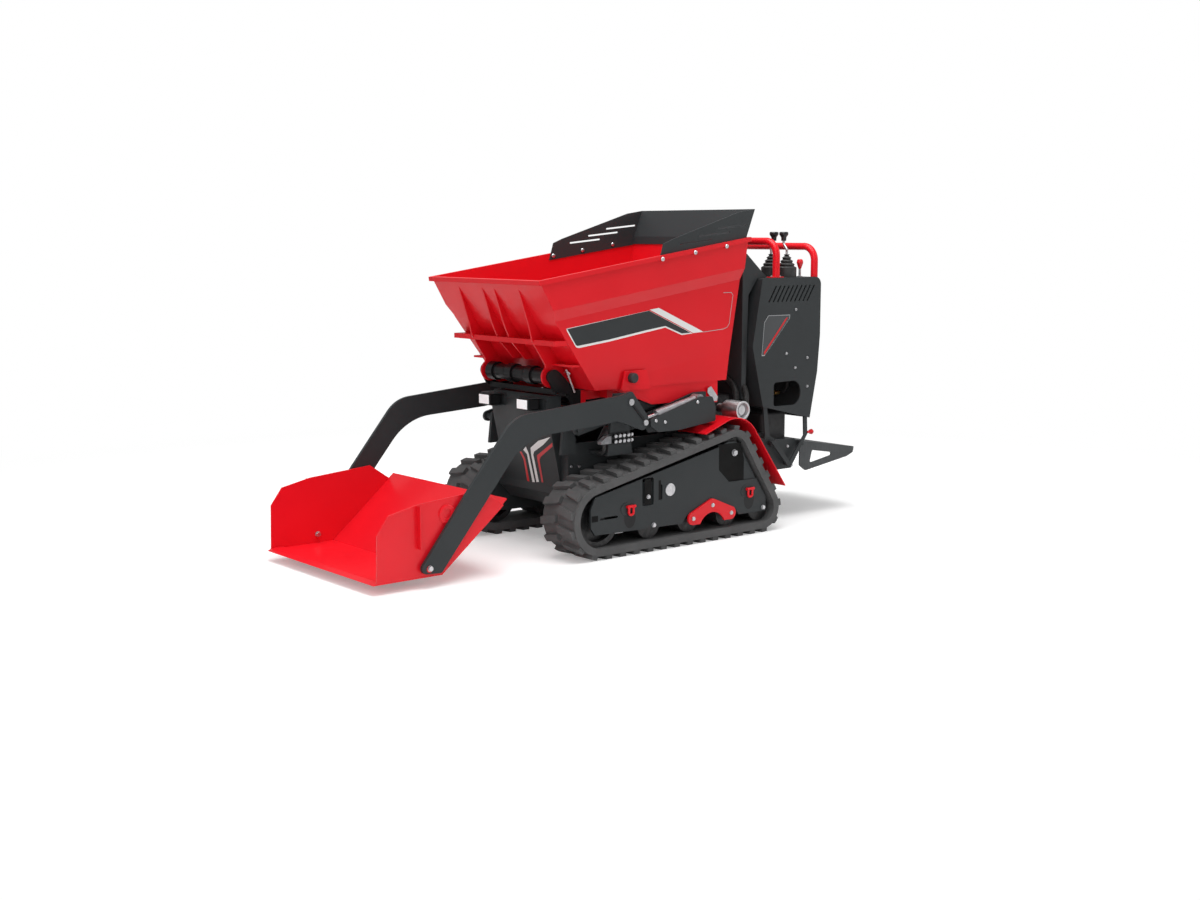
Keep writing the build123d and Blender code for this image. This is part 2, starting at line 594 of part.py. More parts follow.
bracket_back_x = COWL_FRONT_X + SEAT_GAP
bracket_top_z = LAMP_LOW_Z + LAMP_HEIGHT + SEAT_GAP
bracket_low_z = LAMP_LOW_Z - SEAT_GAP
bracket_front_x = LAMP_FRONT_X - 14
lamp_inner_y = LAMP_Y - LAMP_WIDTH / 2
lamp_outer_y = LAMP_Y + LAMP_WIDTH / 2
with BuildPart() as lamp_brackets:
    for base_z in (bracket_low_z - LAMP_BRACKET_SHEET, bracket_top_z):
        with BuildSketch(Plane.XY.offset(base_z)):
            with BuildLine():
                FilletPolyline((bracket_back_x, lamp_inner_y - 6), (bracket_front_x, lamp_inner_y),
                               (bracket_front_x, lamp_outer_y), (bracket_back_x, lamp_outer_y + 6),
                               radius=[0, 8, 8, 0], close=True)
            make_face()
        extrude(amount=LAMP_BRACKET_SHEET)
    with BuildSketch(Plane.XY.offset(bracket_low_z - LAMP_BRACKET_SHEET)):
        with Locations((bracket_back_x + LAMP_BRACKET_SHEET / 2, LAMP_Y)):
            Rectangle(LAMP_BRACKET_SHEET, LAMP_WIDTH + 12)
    extrude(amount=bracket_top_z - bracket_low_z + 2 * LAMP_BRACKET_SHEET)
    mirror(about=Plane.XZ)
save(lamp_brackets.part, "lamp_brackets")

with BuildPart() as work_lamps:
    with BuildSketch(Plane.YZ.offset(LAMP_FRONT_X - LAMP_DEPTH)):
        with Locations((LAMP_Y, LAMP_LOW_Z + LAMP_HEIGHT / 2), (-LAMP_Y, LAMP_LOW_Z + LAMP_HEIGHT / 2)):
            RectangleRounded(LAMP_WIDTH - 8, LAMP_HEIGHT, LAMP_ROUND)
    extrude(amount=LAMP_DEPTH)
    chamfer(work_lamps.faces().sort_by(Axis.X)[-2:].edges(), LAMP_ROUND / 2)
save(work_lamps.part, "work_lamps")

# Engine in the tub, with its round exhaust drum on a neck and the cover behind it
with BuildPart() as engine:
    with BuildSketch(Plane.XY.offset(CHASSIS_BOTTOM_Z + CHASSIS_PLATE + SEAT_GAP)):
        with Locations((ENGINE_X, 0)):
            Rectangle(ENGINE_LENGTH, ENGINE_WIDTH)
    extrude(amount=ENGINE_HEIGHT)
save(engine.part, "engine")

with BuildPart() as exhaust_drum:
    bar(DRUM_X, DRUM_Z, DRUM_RADIUS, DRUM_INNER_Y, DRUM_OUTER_Y)
    bar(DRUM_X, DRUM_Z, DRUM_RADIUS - DRUM_RIM, DRUM_OUTER_Y - DRUM_DEPTH, DRUM_OUTER_Y, Mode.SUBTRACT)
    bar(DRUM_X, DRUM_Z, DRUM_NECK_RADIUS, ENGINE_WIDTH / 2 + SEAT_GAP, DRUM_OUTER_Y - DRUM_RIM)
save(exhaust_drum.part, "exhaust_drum")

# Engine cover: an upright sheet with a sloping top, between two gusset plates
console_seat_x = CONSOLE_FRONT_X + SEAT_GAP
cover_gusset = [(COVER_FRONT_X, COVER_LOW_Z), (COVER_FRONT_X, COVER_TOP_Z), (-628, 1186), (-745, 1088),
                (-745, CONSOLE_TOP_Z + SEAT_GAP), (console_seat_x, CONSOLE_TOP_Z + SEAT_GAP), (-640, 1010),
                (-628, COVER_LOW_Z)]
with BuildPart() as engine_cover:
    plate(cover_gusset, COVER_HALF_WIDTH - COVER_SHEET, COVER_HALF_WIDTH)
    mirror(about=Plane.XZ)
    half_sheet = COVER_SHEET / 2
    folded(((COVER_FRONT_X - half_sheet, COVER_LOW_Z), (COVER_FRONT_X - half_sheet, COVER_TOP_Z - half_sheet),
            (-628, 1182), (-742, 1087)), COVER_SHEET, -COVER_HALF_WIDTH, COVER_HALF_WIDTH)
save(engine_cover.part, "engine_cover")

# Operator console: a sheet wrapped round the front, top and rear, open below, between two flat
# side panels with slanted louvres and a rounded hole
console_outline = [(CONSOLE_FRONT_X, CONSOLE_TOP_Z), (CONSOLE_REAR_X, CONSOLE_TOP_Z), (CONSOLE_REAR_X, 822),
                   (-1054, 658), (-1010, 450), (-708, 520), (-640, 785)]
console_rounds = [10, 34, 60, 60, 0, 0, 20]
wrap_half_width = CONSOLE_HALF_WIDTH - CONSOLE_SHEET - SEAT_GAP
with BuildPart() as console:
    plate(console_outline, -wrap_half_width, wrap_half_width, radius=console_rounds)
    open_sides = console.faces().filter_by(Axis.Y)
    open_bottom = console.faces().filter_by(lambda face: face.normal_at().Z < -0.9)
    offset(amount=-CONSOLE_SHEET, openings=open_sides + open_bottom)
save(console.part, "console")

with BuildPart() as console_sides:
    panel_low = CONSOLE_HALF_WIDTH - CONSOLE_SHEET
    plate(console_outline, panel_low, CONSOLE_HALF_WIDTH, radius=console_rounds)
    plate([(-775, 517), (-775, 622), (-947, 625), (-947, 515)], panel_low, CONSOLE_HALF_WIDTH,
          radius=[14, 16, 50, 52], mode=Mode.SUBTRACT)
    with BuildSketch(across(CONSOLE_HALF_WIDTH)):
        with Locations((LOUVRE_X, LOUVRE_Z)):
            with GridLocations(LOUVRE_PITCH, LOUVRE_PITCH, LOUVRE_COUNT, 1):
                Rectangle(LOUVRE_LENGTH, LOUVRE_WIDTH, rotation=180 - LOUVRE_LEAN)
    extrude(amount=CONSOLE_SHEET, mode=Mode.SUBTRACT)
    mirror(about=Plane.XZ)
save(console_sides.part, "console_sides")

# Guard hoops: bent tubes that stand on the console's top
hoop_tops = {"front_hoop": (FRONT_HOOP_X, FRONT_HOOP_TOP_Z), "rear_hoop": (REAR_HOOP_X, REAR_HOOP_TOP_Z)}
for name, (hoop_x, top_z) in hoop_tops.items():
    with BuildPart() as hoop:
        foot_z = CONSOLE_TOP_Z - HOOP_RADIUS
        with BuildLine() as spine:
            FilletPolyline((hoop_x, HOOP_HALF_WIDTH, foot_z), (hoop_x, HOOP_HALF_WIDTH, top_z),
                           (hoop_x, -HOOP_HALF_WIDTH, top_z), (hoop_x, -HOOP_HALF_WIDTH, foot_z),
                           radius=HOOP_BEND)
        with BuildSketch(Plane(spine.line @ 0, z_dir=spine.line % 0)):
            Circle(HOOP_RADIUS)
        sweep(path=spine.line)
        with BuildSketch(across(CONSOLE_HALF_WIDTH)) as seat:
            with BuildLine():
                FilletPolyline(*console_outline, radius=console_rounds, close=True)
            make_face()
            offset(amount=SEAT_GAP)
        extrude(seat.sketch, amount=2 * CONSOLE_HALF_WIDTH, mode=Mode.SUBTRACT)
    save(hoop.part, name)

# Drive levers: pleated rubber boots, bent rods and flared knobs
boot_foot_z = CONSOLE_TOP_Z + SEAT_GAP
boot_top_z = boot_foot_z + BOOT_HEIGHT
with BuildPart() as lever_boots:
    fold_height = (BOOT_HEIGHT - BOOT_SKIRT) / BOOT_FOLDS
    fold_step = (BOOT_RADIUS - BOOT_NECK_RADIUS) / BOOT_FOLDS
    for y in LEVER_YS:
        pleats = [(BOOT_RADIUS, 0), (BOOT_RADIUS, BOOT_SKIRT)]
        for i in range(1, BOOT_FOLDS + 1):
            radius = BOOT_RADIUS - i * fold_step
            height = BOOT_SKIRT + i * fold_height
            pleats.append((radius - BOOT_FOLD_DEPTH, height - fold_height / 2))
            pleats.append((radius, height))
        with BuildSketch(Plane(origin=(LEVER_X, y, boot_foot_z), x_dir=(1, 0, 0), z_dir=(0, -1, 0))):
            Polygon((0, 0), *pleats, (0, BOOT_HEIGHT))
        revolve(axis=Axis((LEVER_X, y, boot_foot_z), (0, 0, 1)))
save(lever_boots.part, "lever_boots")

with BuildPart() as control_levers:
    rod_foot_z = boot_top_z + SEAT_GAP
    for y, knob_y in zip(LEVER_YS, (166, 226)):
        knob_foot_z = KNOB_TOP_Z - KNOB_HEIGHT
        with BuildLine() as spine:
            FilletPolyline((LEVER_X, y, rod_foot_z), (LEVER_X, y, rod_foot_z + 22),
                           (LEVER_X, knob_y, knob_foot_z - 12), (LEVER_X, knob_y, knob_foot_z + 4), radius=10)
        with BuildSketch(Plane(spine.line @ 0, z_dir=spine.line % 0)):
            Circle(LEVER_ROD_RADIUS)
        sweep(path=spine.line)
        with BuildSketch(Plane(origin=(LEVER_X, knob_y, knob_foot_z), x_dir=(1, 0, 0), z_dir=(0, -1, 0))):
            with BuildLine():
                FilletPolyline((0, 0), (KNOB_RADIUS * 0.55, 0), (KNOB_RADIUS * 0.6, KNOB_HEIGHT * 0.4),
                               (KNOB_RADIUS, KNOB_HEIGHT * 0.7), (KNOB_RADIUS, KNOB_HEIGHT), (0, KNOB_HEIGHT),
                               radius=[0, 2, 6, 3, 6, 0], close=True)
            make_face()
        revolve(axis=Axis((LEVER_X, knob_y, knob_foot_z), (0, 0, 1)))
save(control_levers.part, "control_levers")

with BuildPart() as speed_lever:
    speed_foot = (SPEED_LEVER_X, SPEED_LEVER_Y, boot_foot_z)
    with BuildSketch(Plane(origin=speed_foot, x_dir=(1, 0, 0), z_dir=(0, -1, 0))):
        with BuildLine():
            FilletPolyline((0, 0), (12, 0), (12, 3), (LEVER_ROD_RADIUS, 3), (LEVER_ROD_RADIUS, 34), (15, 62),
                           (12, 78), (0, 78), radius=[0, 0, 0, 0, 8, 10, 8, 0], close=True)
        make_face()
    revolve(axis=Axis(speed_foot, (0, 0, 1)))
save(speed_lever.part, "speed_lever")

# Rear carrier: two side plates and a floor bolted to the chassis, with braces up to the console
carrier_high = STEP_HALF_WIDTH - STEP_SHEET - CARRIER_GAP
carrier_low = carrier_high - CARRIER_PLATE
brace_high = wrap_half_width
brace_low = brace_high - BRACE_BAR
carrier_front_x = CHASSIS_REAR_X - SEAT_GAP
carrier_outline = [(carrier_front_x, 250), (carrier_front_x, 400), (-760, 400), (-820, 366), (-960, 350),
                   (STEP_HINGE_X, STEP_HINGE_Z + 16), (STEP_HINGE_X - 16, STEP_HINGE_Z),
                   (STEP_HINGE_X, STEP_HINGE_Z - 16), (-958, 306), (-930, 225), (-800, 225)]
with BuildPart() as rear_carrier:
    plate(carrier_outline, carrier_low, carrier_high, radius=[0, 6, 10, 10, 4, 10, 12, 10, 10, 10, 10])
    bar(STEP_HINGE_X, STEP_HINGE_Z, STEP_PIN_RADIUS, carrier_high - 2, STEP_HALF_WIDTH + 4)
    plate([(-982, 372), (-976, 490), (-998, 486), (-1004, 376), (-905, 241), (-880, 241), (-772, 360),
           (-797, 366), (-892, 262)], brace_low, brace_high)
    plate([(-732, 384), (-716, 540), (-738, 540), (-760, 384)], brace_low, brace_high)
    for x, z in ((-892, 252), (-787, 350), (-745, 386)):
        bar(x, z, BOSS_RADIUS, carrier_high - 1, brace_low + 1)
    mirror(about=Plane.XZ)
    with BuildSketch(Plane.XY.offset(CARRIER_FLOOR_Z)):
        with Locations(((carrier_front_x + CARRIER_FLOOR_REAR_X) / 2, 0)):
            Rectangle(carrier_front_x - CARRIER_FLOOR_REAR_X, 2 * carrier_high)
    extrude(amount=-CARRIER_PLATE)
save(rear_carrier.part, "rear_carrier")

with BuildPart() as rear_tank:
    with BuildSketch(Plane.XY.offset(CARRIER_FLOOR_Z + SEAT_GAP)):
        with Locations((-867, 0)):
            RectangleRounded(158, TANK_WIDTH, TANK_ROUND)
    extrude(amount=TANK_HEIGHT)
    fillet(rear_tank.faces().sort_by(Axis.Z)[-1].edges(), TANK_ROUND / 2)
save(rear_tank.part, "rear_tank")

# Folding step: two cheeks with a three-cornered window and a folded tread plate
cheek_outline = [(-970, 346), (STEP_REAR_X, 288), (-1332, 262), (-1290, 246), (-1010, 206), (-970, 233)]
with BuildPart() as step:
    plate(cheek_outline, STEP_HALF_WIDTH - STEP_SHEET, STEP_HALF_WIDTH, radius=[8, 6, 6, 20, 20, 10])
    plate([(-1052, 296), (-1222, 268), (-1036, 238)], STEP_HALF_WIDTH - STEP_SHEET, STEP_HALF_WIDTH,
          radius=8, mode=Mode.SUBTRACT)
    bar(STEP_HINGE_X, STEP_HINGE_Z, STEP_PIN_RADIUS + BORE_CLEARANCE, STEP_HALF_WIDTH - STEP_SHEET - 1,
        STEP_HALF_WIDTH + 1, Mode.SUBTRACT)
    mirror(about=Plane.XZ)
    tread = [(-1012, 339), (STEP_REAR_X, 288), (-1333, 264), (-1328, 264), (STEP_REAR_X + 7, 283), (-1012, 333)]
    plate(tread, 1 - STEP_HALF_WIDTH, STEP_HALF_WIDTH - 1)
save(step.part, "step")

# Loader arms: one thick plate each side, bent down to the shovel
arm_outline = [(149, 655), (207, 641), (727, 597), (944, 334), (1165, 57), (1061, 51), (792, 375), (679, 511),
               (537, 519), (284, 534), (227, 542), (185, 528), (81, 489), (59, 541)]
arm_rounds = [14, 20, 150, 0, 20, 12, 0, 260, 0, 0, 30, 40, 22, 22]
pad_low = LOADER_RAM_Y + LOADER_ROD_EYE / 2 + 4
with BuildPart() as arm_left:
    plate(arm_outline, ARM_INNER_Y, ARM_INNER_Y + ARM_PLATE, radius=arm_rounds)
    for x, z in ((ARM_PIVOT_X, ARM_PIVOT_Z), (SHOVEL_PIN_X, SHOVEL_PIN_Z)):
        bar(x, z, ARM_PIN_RADIUS + BORE_CLEARANCE, ARM_INNER_Y, ARM_INNER_Y + ARM_PLATE, Mode.SUBTRACT)
    bar(ARM_RAM_X, ARM_RAM_Z, ARM_PAD_RADIUS, pad_low, ARM_INNER_Y + 1)
save(arm_left.part, "arm_left")

# Shovel: a folded floor and back between two side plates, a bevelled edge and stop flanges
shovel_side = [(1324, SHOVEL_FLOOR_Z), (1319, 217), (1270, 283), (1143, 310), (868, 333), (767, 264),
               (SHOVEL_HEEL_X, SHOVEL_FLOOR_Z)]
sheet_middle = SHOVEL_FLOOR_Z + SHOVEL_SHEET / 2
with BuildPart() as shovel:
    plate(shovel_side, SHOVEL_HALF_WIDTH - SHOVEL_SHEET, SHOVEL_HALF_WIDTH)
    stop = [(SHOVEL_STOP_X, 148), (SHOVEL_STOP_X, 300), (SHOVEL_STOP_X + SHOVEL_SHEET, 306),
            (SHOVEL_STOP_X + SHOVEL_SHEET, 148)]
    plate(stop, SHOVEL_HALF_WIDTH - 1, SHOVEL_STOP_Y)
    bar(SHOVEL_PIN_X, SHOVEL_PIN_Z, ARM_PIN_RADIUS, SHOVEL_HALF_WIDTH - 1, ARM_INNER_Y + ARM_PLATE)
    mirror(about=Plane.XZ)
    folded(((SHOVEL_EDGE_X - SHOVEL_BEVEL, sheet_middle), (SHOVEL_HEEL_X, sheet_middle),
            (SHOVEL_LIP_X, SHOVEL_LIP_Z)), SHOVEL_SHEET, -SHOVEL_HALF_WIDTH, SHOVEL_HALF_WIDTH)
    edge_back_x = SHOVEL_EDGE_X - 3 * SHOVEL_BEVEL
    edge_top_z = SHOVEL_FLOOR_Z + SHOVEL_EDGE
    cutting_edge = [(SHOVEL_EDGE_X, SHOVEL_FLOOR_Z), (SHOVEL_EDGE_X - SHOVEL_BEVEL, edge_top_z),
                    (edge_back_x, edge_top_z), (edge_back_x, SHOVEL_FLOOR_Z)]
    plate(cutting_edge, -SHOVEL_HALF_WIDTH, SHOVEL_HALF_WIDTH)
save(shovel.part, "shovel")


def ram(base, eye, y, barrel_radius, rod_radius, base_width, eye_width, pin_radius, barrel_share):
    """The barrel and the rod of a ram between two pins, each with a round eye."""
    length = math.hypot(eye[0] - base[0], eye[1] - base[1])
    along_x = (eye[0] - base[0]) / length
    along_z = (eye[1] - base[1]) / length
    neck = pin_radius + 4
    head = pin_radius + 10
    barrel_end = length * barrel_share
    from_base = Plane((base[0], y, base[1]), x_dir=(0, 1, 0), z_dir=(along_x, 0, along_z))
    with BuildPart() as barrel:
        with BuildSketch(from_base.offset(neck)):
            Circle(barrel_radius)
        extrude(amount=barrel_end - neck)
        bar(*base, head, y - base_width / 2, y + base_width / 2)
        with BuildSketch(from_base.offset(barrel_end)):
            Circle(rod_radius + BORE_CLEARANCE)
        extrude(amount=-(barrel_end - neck - head), mode=Mode.SUBTRACT)
        bar(*base, pin_radius + BORE_CLEARANCE, y - base_width, y + base_width, Mode.SUBTRACT)
    with BuildPart() as rod:
        with BuildSketch(from_base.offset(barrel_end - ROD_OVERLAP)):
            Circle(rod_radius)
        extrude(amount=length - barrel_end + ROD_OVERLAP - neck)
        bar(*eye, head, y - eye_width / 2, y + eye_width / 2)
        bar(*eye, pin_radius + BORE_CLEARANCE, y - eye_width, y + eye_width, Mode.SUBTRACT)
    return barrel.part, rod.part


loader_barrel, loader_rod = ram((LOADER_RAM_BASE_X, LOADER_RAM_BASE_Z), (ARM_RAM_X, ARM_RAM_Z), LOADER_RAM_Y,
                                LOADER_BARREL_RADIUS, LOADER_ROD_RADIUS, LOADER_BASE_EYE, LOADER_ROD_EYE,
                                ARM_PIN_RADIUS, 0.72)
with BuildPart() as loader_barrels:
    add(loader_barrel)
    mirror(about=Plane.XZ)
save(loader_barrels.part, "loader_barrels")
with BuildPart() as loader_rods:
    add(loader_rod)
    mirror(about=Plane.XZ)
save(loader_rods.part, "loader_rods")
lift_barrel, lift_rod = ram((LIFT_BASE_X, LIFT_BASE_Z), (LIFT_EYE_X, LIFT_EYE_Z), 0, LIFT_BARREL_RADIUS,
                            LIFT_ROD_RADIUS, LIFT_EYE_WIDTH, LIFT_EYE_WIDTH, LINK_PIN_RADIUS, 0.75)
save(lift_barrel, "lift_barrel")
save(lift_rod, "lift_rod")
tip_barrel, tip_rod = ram((TIP_BASE_X, TIP_BASE_Z), (TIP_EYE_X, TIP_EYE_Z), 0, TIP_BARREL_RADIUS,
                          TIP_ROD_RADIUS, TIP_EYE_WIDTH, TIP_EYE_WIDTH, LINK_PIN_RADIUS, 0.8)
save(tip_barrel, "tip_barrel")
save(tip_rod, "tip_rod")

# Parallel lift links: a blade each side and a cross tube, in two halves where the lift ram works
for name, shift in (("rear_links", 0.0), ("front_links", LINK_SPACING)):
    with BuildPart() as links:
        lower = (LIFT_PIVOT_X + shift, LIFT_PIVOT_Z)
        upper = (LIFT_PIN_X + shift, LIFT_PIN_Z)
        middle = ((lower[0] + upper[0]) / 2, (lower[1] + upper[1]) / 2)
        blade(lower, upper, LINK_HALF_WIDTH, LINK_OUTER_Y - LINK_PLATE, LINK_OUTER_Y)
        if shift:
            bar(*middle, LINK_TUBE_RADIUS, 0, LINK_OUTER_Y - 1)
        else:
            bar(*middle, LINK_TUBE_RADIUS, LIFT_LUG_Y, LINK_OUTER_Y - 1)
            bar(*middle, LINK_TUBE_RADIUS + LIFT_LUG_PLATE, LIFT_LUG_Y, LIFT_LUG_Y + LIFT_LUG_PLATE)
        for x, z in (lower, upper):
            bar(x, z, LINK_PIN_RADIUS + BORE_CLEARANCE, LINK_OUTER_Y - LINK_PLATE - 1, LINK_OUTER_Y + 1,
                Mode.SUBTRACT)
        mirror(about=Plane.XZ)
    save(links.part, name)

# Cradle: two channel rails over the links, a rear cross plate, two horns that hold the tip
# tube, a cross member for the tip ram and a side guide for the hopper
rail_low = CRADLE_OUTER_Y - CRADLE_RAIL_WIDTH
sheet_top = CRADLE_TOP_Z - CRADLE_SHEET
rail = [(CRADLE_REAR_X, CRADLE_TOP_Z), (CRADLE_FRONT_X, CRADLE_TOP_Z), (CRADLE_TAPER_X, CRADLE_BOTTOM_Z),
        (-330, CRADLE_BOTTOM_Z), (-352, CRADLE_HEEL_Z), (CRADLE_REAR_X, CRADLE_HEEL_Z)]
member_top = TIP_BASE_Z - TIP_BARREL_RADIUS - RUNNING_GAP
member_low = member_top - 10
cross_front_x = CRADLE_REAR_X + CRADLE_CROSS_PLATE
horn_low = HORN_OUTER_Y - HORN_PLATE
horn = [(100, sheet_top - 34), (100, sheet_top), (285, sheet_top), (TIP_PIVOT_X - 22, TIP_PIVOT_Z + 22),
        (TIP_PIVOT_X + 24, TIP_PIVOT_Z - 18), (TIP_PIVOT_X, 652), (330, 640), (TIP_BASE_X + 26, member_low),
        (TIP_BASE_X - 26, member_low), (TIP_BASE_X - 34, 612)]
with BuildPart() as cradle:
    for low in (rail_low, CRADLE_OUTER_Y - CRADLE_SHEET):
        plate(rail, low, low + CRADLE_SHEET)
    plate([(CRADLE_REAR_X, sheet_top), (CRADLE_REAR_X, CRADLE_TOP_Z), (CRADLE_FRONT_X, CRADLE_TOP_Z),
           (CRADLE_FRONT_X, sheet_top)], rail_low, CRADLE_OUTER_Y)
    plate([(CRADLE_REAR_X, sheet_top), (CRADLE_REAR_X, CRADLE_TOP_Z), (cross_front_x, CRADLE_TOP_Z),
           (cross_front_x, sheet_top)], 0, rail_low + 1)
    plate(horn, horn_low, HORN_OUTER_Y)
    bar(TIP_PIVOT_X, TIP_PIVOT_Z, HORN_HEAD_RADIUS, horn_low, HORN_OUTER_Y)
    plate([(100, sheet_top - 34), (100, sheet_top), (160, sheet_top), (160, sheet_top - 34)], horn_low,
          rail_low + CRADLE_SHEET)
    plate([(378, 640), (378, 661), (384, 661), (384, 640)], 0, horn_low + 1)
    plate([(TIP_BASE_X - 24, member_low), (TIP_BASE_X - 24, member_top), (TIP_BASE_X + 24, member_top),
           (TIP_BASE_X + 24, member_low)], 0, horn_low + 1)
    plate(trapezoid(TIP_BASE_X, member_low, TIP_BASE_Z + 16, 24, 14), TIP_LUG_Y, TIP_LUG_Y + TIP_LUG_PLATE)
    for x in (LIFT_PIN_X, LIFT_PIN_X + LINK_SPACING):
        bar(x, LIFT_PIN_Z, LINK_PIN_RADIUS, rail_low, CRADLE_OUTER_Y)
    guide_low = HOPPER_HALF_WIDTH - HOPPER_WAIST_STEP - HOPPER_FLOOR_STEP / 2 + RUNNING_GAP / 2
    plate([(-9, 650), (12, 728), (128, 728), (149, 650)], guide_low, guide_low + CRADLE_SHEET, radius=6)
    plate([(0, 650), (0, CRADLE_TOP_Z - 1), (110, CRADLE_TOP_Z - 1), (110, 650)], CRADLE_OUTER_Y - 1,
          guide_low + 1)
    bar(94, 700, 19, guide_low + 1, HOPPER_HALF_WIDTH)
    mirror(about=Plane.XZ)
    bar(TIP_BASE_X, TIP_BASE_Z, LINK_PIN_RADIUS, -TIP_LUG_Y - 1, TIP_LUG_Y + 1)
save(cradle.part, "cradle")

with BuildPart() as tip_tube:
    tube_end = horn_low - SEAT_GAP
    bar(TIP_PIVOT_X, TIP_PIVOT_Z, TIP_TUBE_RADIUS, -tube_end, tube_end)
    for i in (-1, 0, 1):
        sleeve_low = i * SLEEVE_PITCH - SLEEVE_LENGTH / 2
        bar(TIP_PIVOT_X, TIP_PIVOT_Z, SLEEVE_RADIUS, sleeve_low, sleeve_low + SLEEVE_LENGTH)
        bar(TIP_PIVOT_X, TIP_PIVOT_Z, SLEEVE_RING_RADIUS, sleeve_low, sleeve_low + SLEEVE_RING_LENGTH)
save(tip_tube.part, "tip_tube")

# Hopper: a shelled pressing whose side profile meets the cross profile seen along the rim,
# with a rim lip, ribs to the tip tube, a crossbar and the lugs of the tip ram
hopper_side = [(HOPPER_RIM_FRONT_X, HOPPER_RIM_FRONT_Z), (HOPPER_KNEE_X, HOPPER_KNEE_Z),
               (HOPPER_BREAST_X, HOPPER_BREAST_Z), (HOPPER_FLOOR_FRONT_X, HOPPER_FLOOR_Z),
               (HOPPER_FLOOR_REAR_X, HOPPER_FLOOR_Z), (HOPPER_RIM_REAR_X, HOPPER_RIM_REAR_Z)]
waist_half_width = HOPPER_HALF_WIDTH - HOPPER_WAIST_STEP
floor_half_width = waist_half_width - HOPPER_FLOOR_STEP
rim_sin = rim_rise / rim_length
rim_cos = rim_run / rim_length
rim_front = (HOPPER_RIM_FRONT_X, 0, HOPPER_RIM_FRONT_Z)
along_rim = Plane(origin=rim_front, x_dir=(0, 1, 0), z_dir=(-rim_cos, 0, rim_sin))
on_rim = Plane(origin=rim_front, x_dir=(0, 1, 0), z_dir=(rim_sin, 0, rim_cos))
waist_depth = HOPPER_BAND + HOPPER_CHAMFER
pivot_rib = [(556, 1080), (500, 915), (485, 856), (420, 760), (420, 690), (350, 661), (268, 661), (466, 926),
             (494, 972), (545, 1062)]
middle_rib = [(556, 1080), (500, 915), (470, 850), (396, 771), (350, 771), (466, 926), (494, 972),
              (545, 1062)]
with BuildPart() as hopper:
    plate(hopper_side, -HOPPER_HALF_WIDTH, HOPPER_HALF_WIDTH)
    with BuildSketch(along_rim) as section:
        with BuildLine():
            half_section = Polyline((0, -RIM_LIP_HEIGHT), (HOPPER_HALF_WIDTH, -RIM_LIP_HEIGHT),
                                    (HOPPER_HALF_WIDTH, HOPPER_BAND), (waist_half_width, waist_depth),
                                    (floor_half_width, waist_depth + HOPPER_LEAN),
                                    (floor_half_width, rim_length), (0, rim_length))
            mirror(half_section, about=Plane.YZ)
        make_face()
    extrude(amount=2 * rim_length, both=True, mode=Mode.INTERSECT)
    mouth = hopper.faces().filter_by(lambda face: face.normal_at().Z > 0.9).sort_by(Axis.Z)[-1]
    offset(amount=-HOPPER_SHEET, openings=mouth)
    with BuildSketch(on_rim):
        with Locations((0, rim_length / 2)):
            Rectangle(2 * (HOPPER_HALF_WIDTH + RIM_LIP), rim_length + 2 * RIM_LIP)
            Rectangle(2 * HOPPER_HALF_WIDTH - HOPPER_SHEET, rim_length - HOPPER_SHEET, mode=Mode.SUBTRACT)
    extrude(amount=-RIM_LIP_HEIGHT)
    for side in (1, -1):
        rib_low = side * PIVOT_RIB_Y - RIB_PLATE / 2
        plate(pivot_rib, rib_low, rib_low + RIB_PLATE)
        bar(TIP_PIVOT_X, TIP_PIVOT_Z, RIB_EYE_RADIUS, rib_low, rib_low + RIB_PLATE)
        middle_low = side * MIDDLE_RIB_Y - RIB_PLATE / 2
        plate(middle_rib, middle_low, middle_low + RIB_PLATE)
        lug_low = side * (TIP_LUG_Y + TIP_LUG_PLATE / 2) - TIP_LUG_PLATE / 2
        plate(trapezoid(TIP_EYE_X, HOPPER_FLOOR_Z + 1, TIP_EYE_Z - 16, 40, 22), lug_low,
              lug_low + TIP_LUG_PLATE)
        gusset_low, gusset_high = sorted((side * PIVOT_RIB_Y, side * (floor_half_width - 1)))
        plate([(340, 756), (340, 764), (386, 764), (386, 756)], gusset_low, gusset_high)
    crossbar_top = CROSSBAR_Z + CROSSBAR_HEIGHT
    crossbar_end = floor_half_width + 6
    plate([(412, CROSSBAR_Z), (480, CROSSBAR_Z), (480, crossbar_top), (420, crossbar_top)], -crossbar_end,
          crossbar_end)
    bar(TIP_PIVOT_X, TIP_PIVOT_Z, TIP_TUBE_RADIUS + BORE_CLEARANCE, -HORN_OUTER_Y, HORN_OUTER_Y,
        Mode.SUBTRACT)
save(hopper.part, "hopper")

# Spill guard: two slotted side sheets and a rear sheet that stand inside the hopper's rim
guard_high = HOPPER_HALF_WIDTH - HOPPER_SHEET - SEAT_GAP
guard_side = [(-39, 1157), (-62, 1231), (-112, 1250), (-489, 1362), (GUARD_TOP_X, GUARD_TOP_Z), (-530, 1259),
              (-525, 1222)]
with BuildPart() as spill_guard:
    plate(guard_side, guard_high - GUARD_SHEET, guard_high)
    with BuildSketch(across(guard_high)):
        with Locations((-240, 1239), (-345, 1270), (-449, 1301)):
            SlotOverall(GUARD_SLOT_LENGTH, GUARD_SLOT_HEIGHT, rotation=GUARD_SLOT_TILT)
    extrude(amount=GUARD_SHEET, mode=Mode.SUBTRACT)
    mirror(about=Plane.XZ)
    rear_sheet = [(-527.7, 1225), (-532.5, 1259), (GUARD_TOP_X - 2, GUARD_TOP_Z),
                  (GUARD_TOP_X + 2, GUARD_TOP_Z), (-528.3, 1259), (-523.7, 1225)]
    plate(rear_sheet, -guard_high, guard_high)
save(spill_guard.part, "spill_guard")

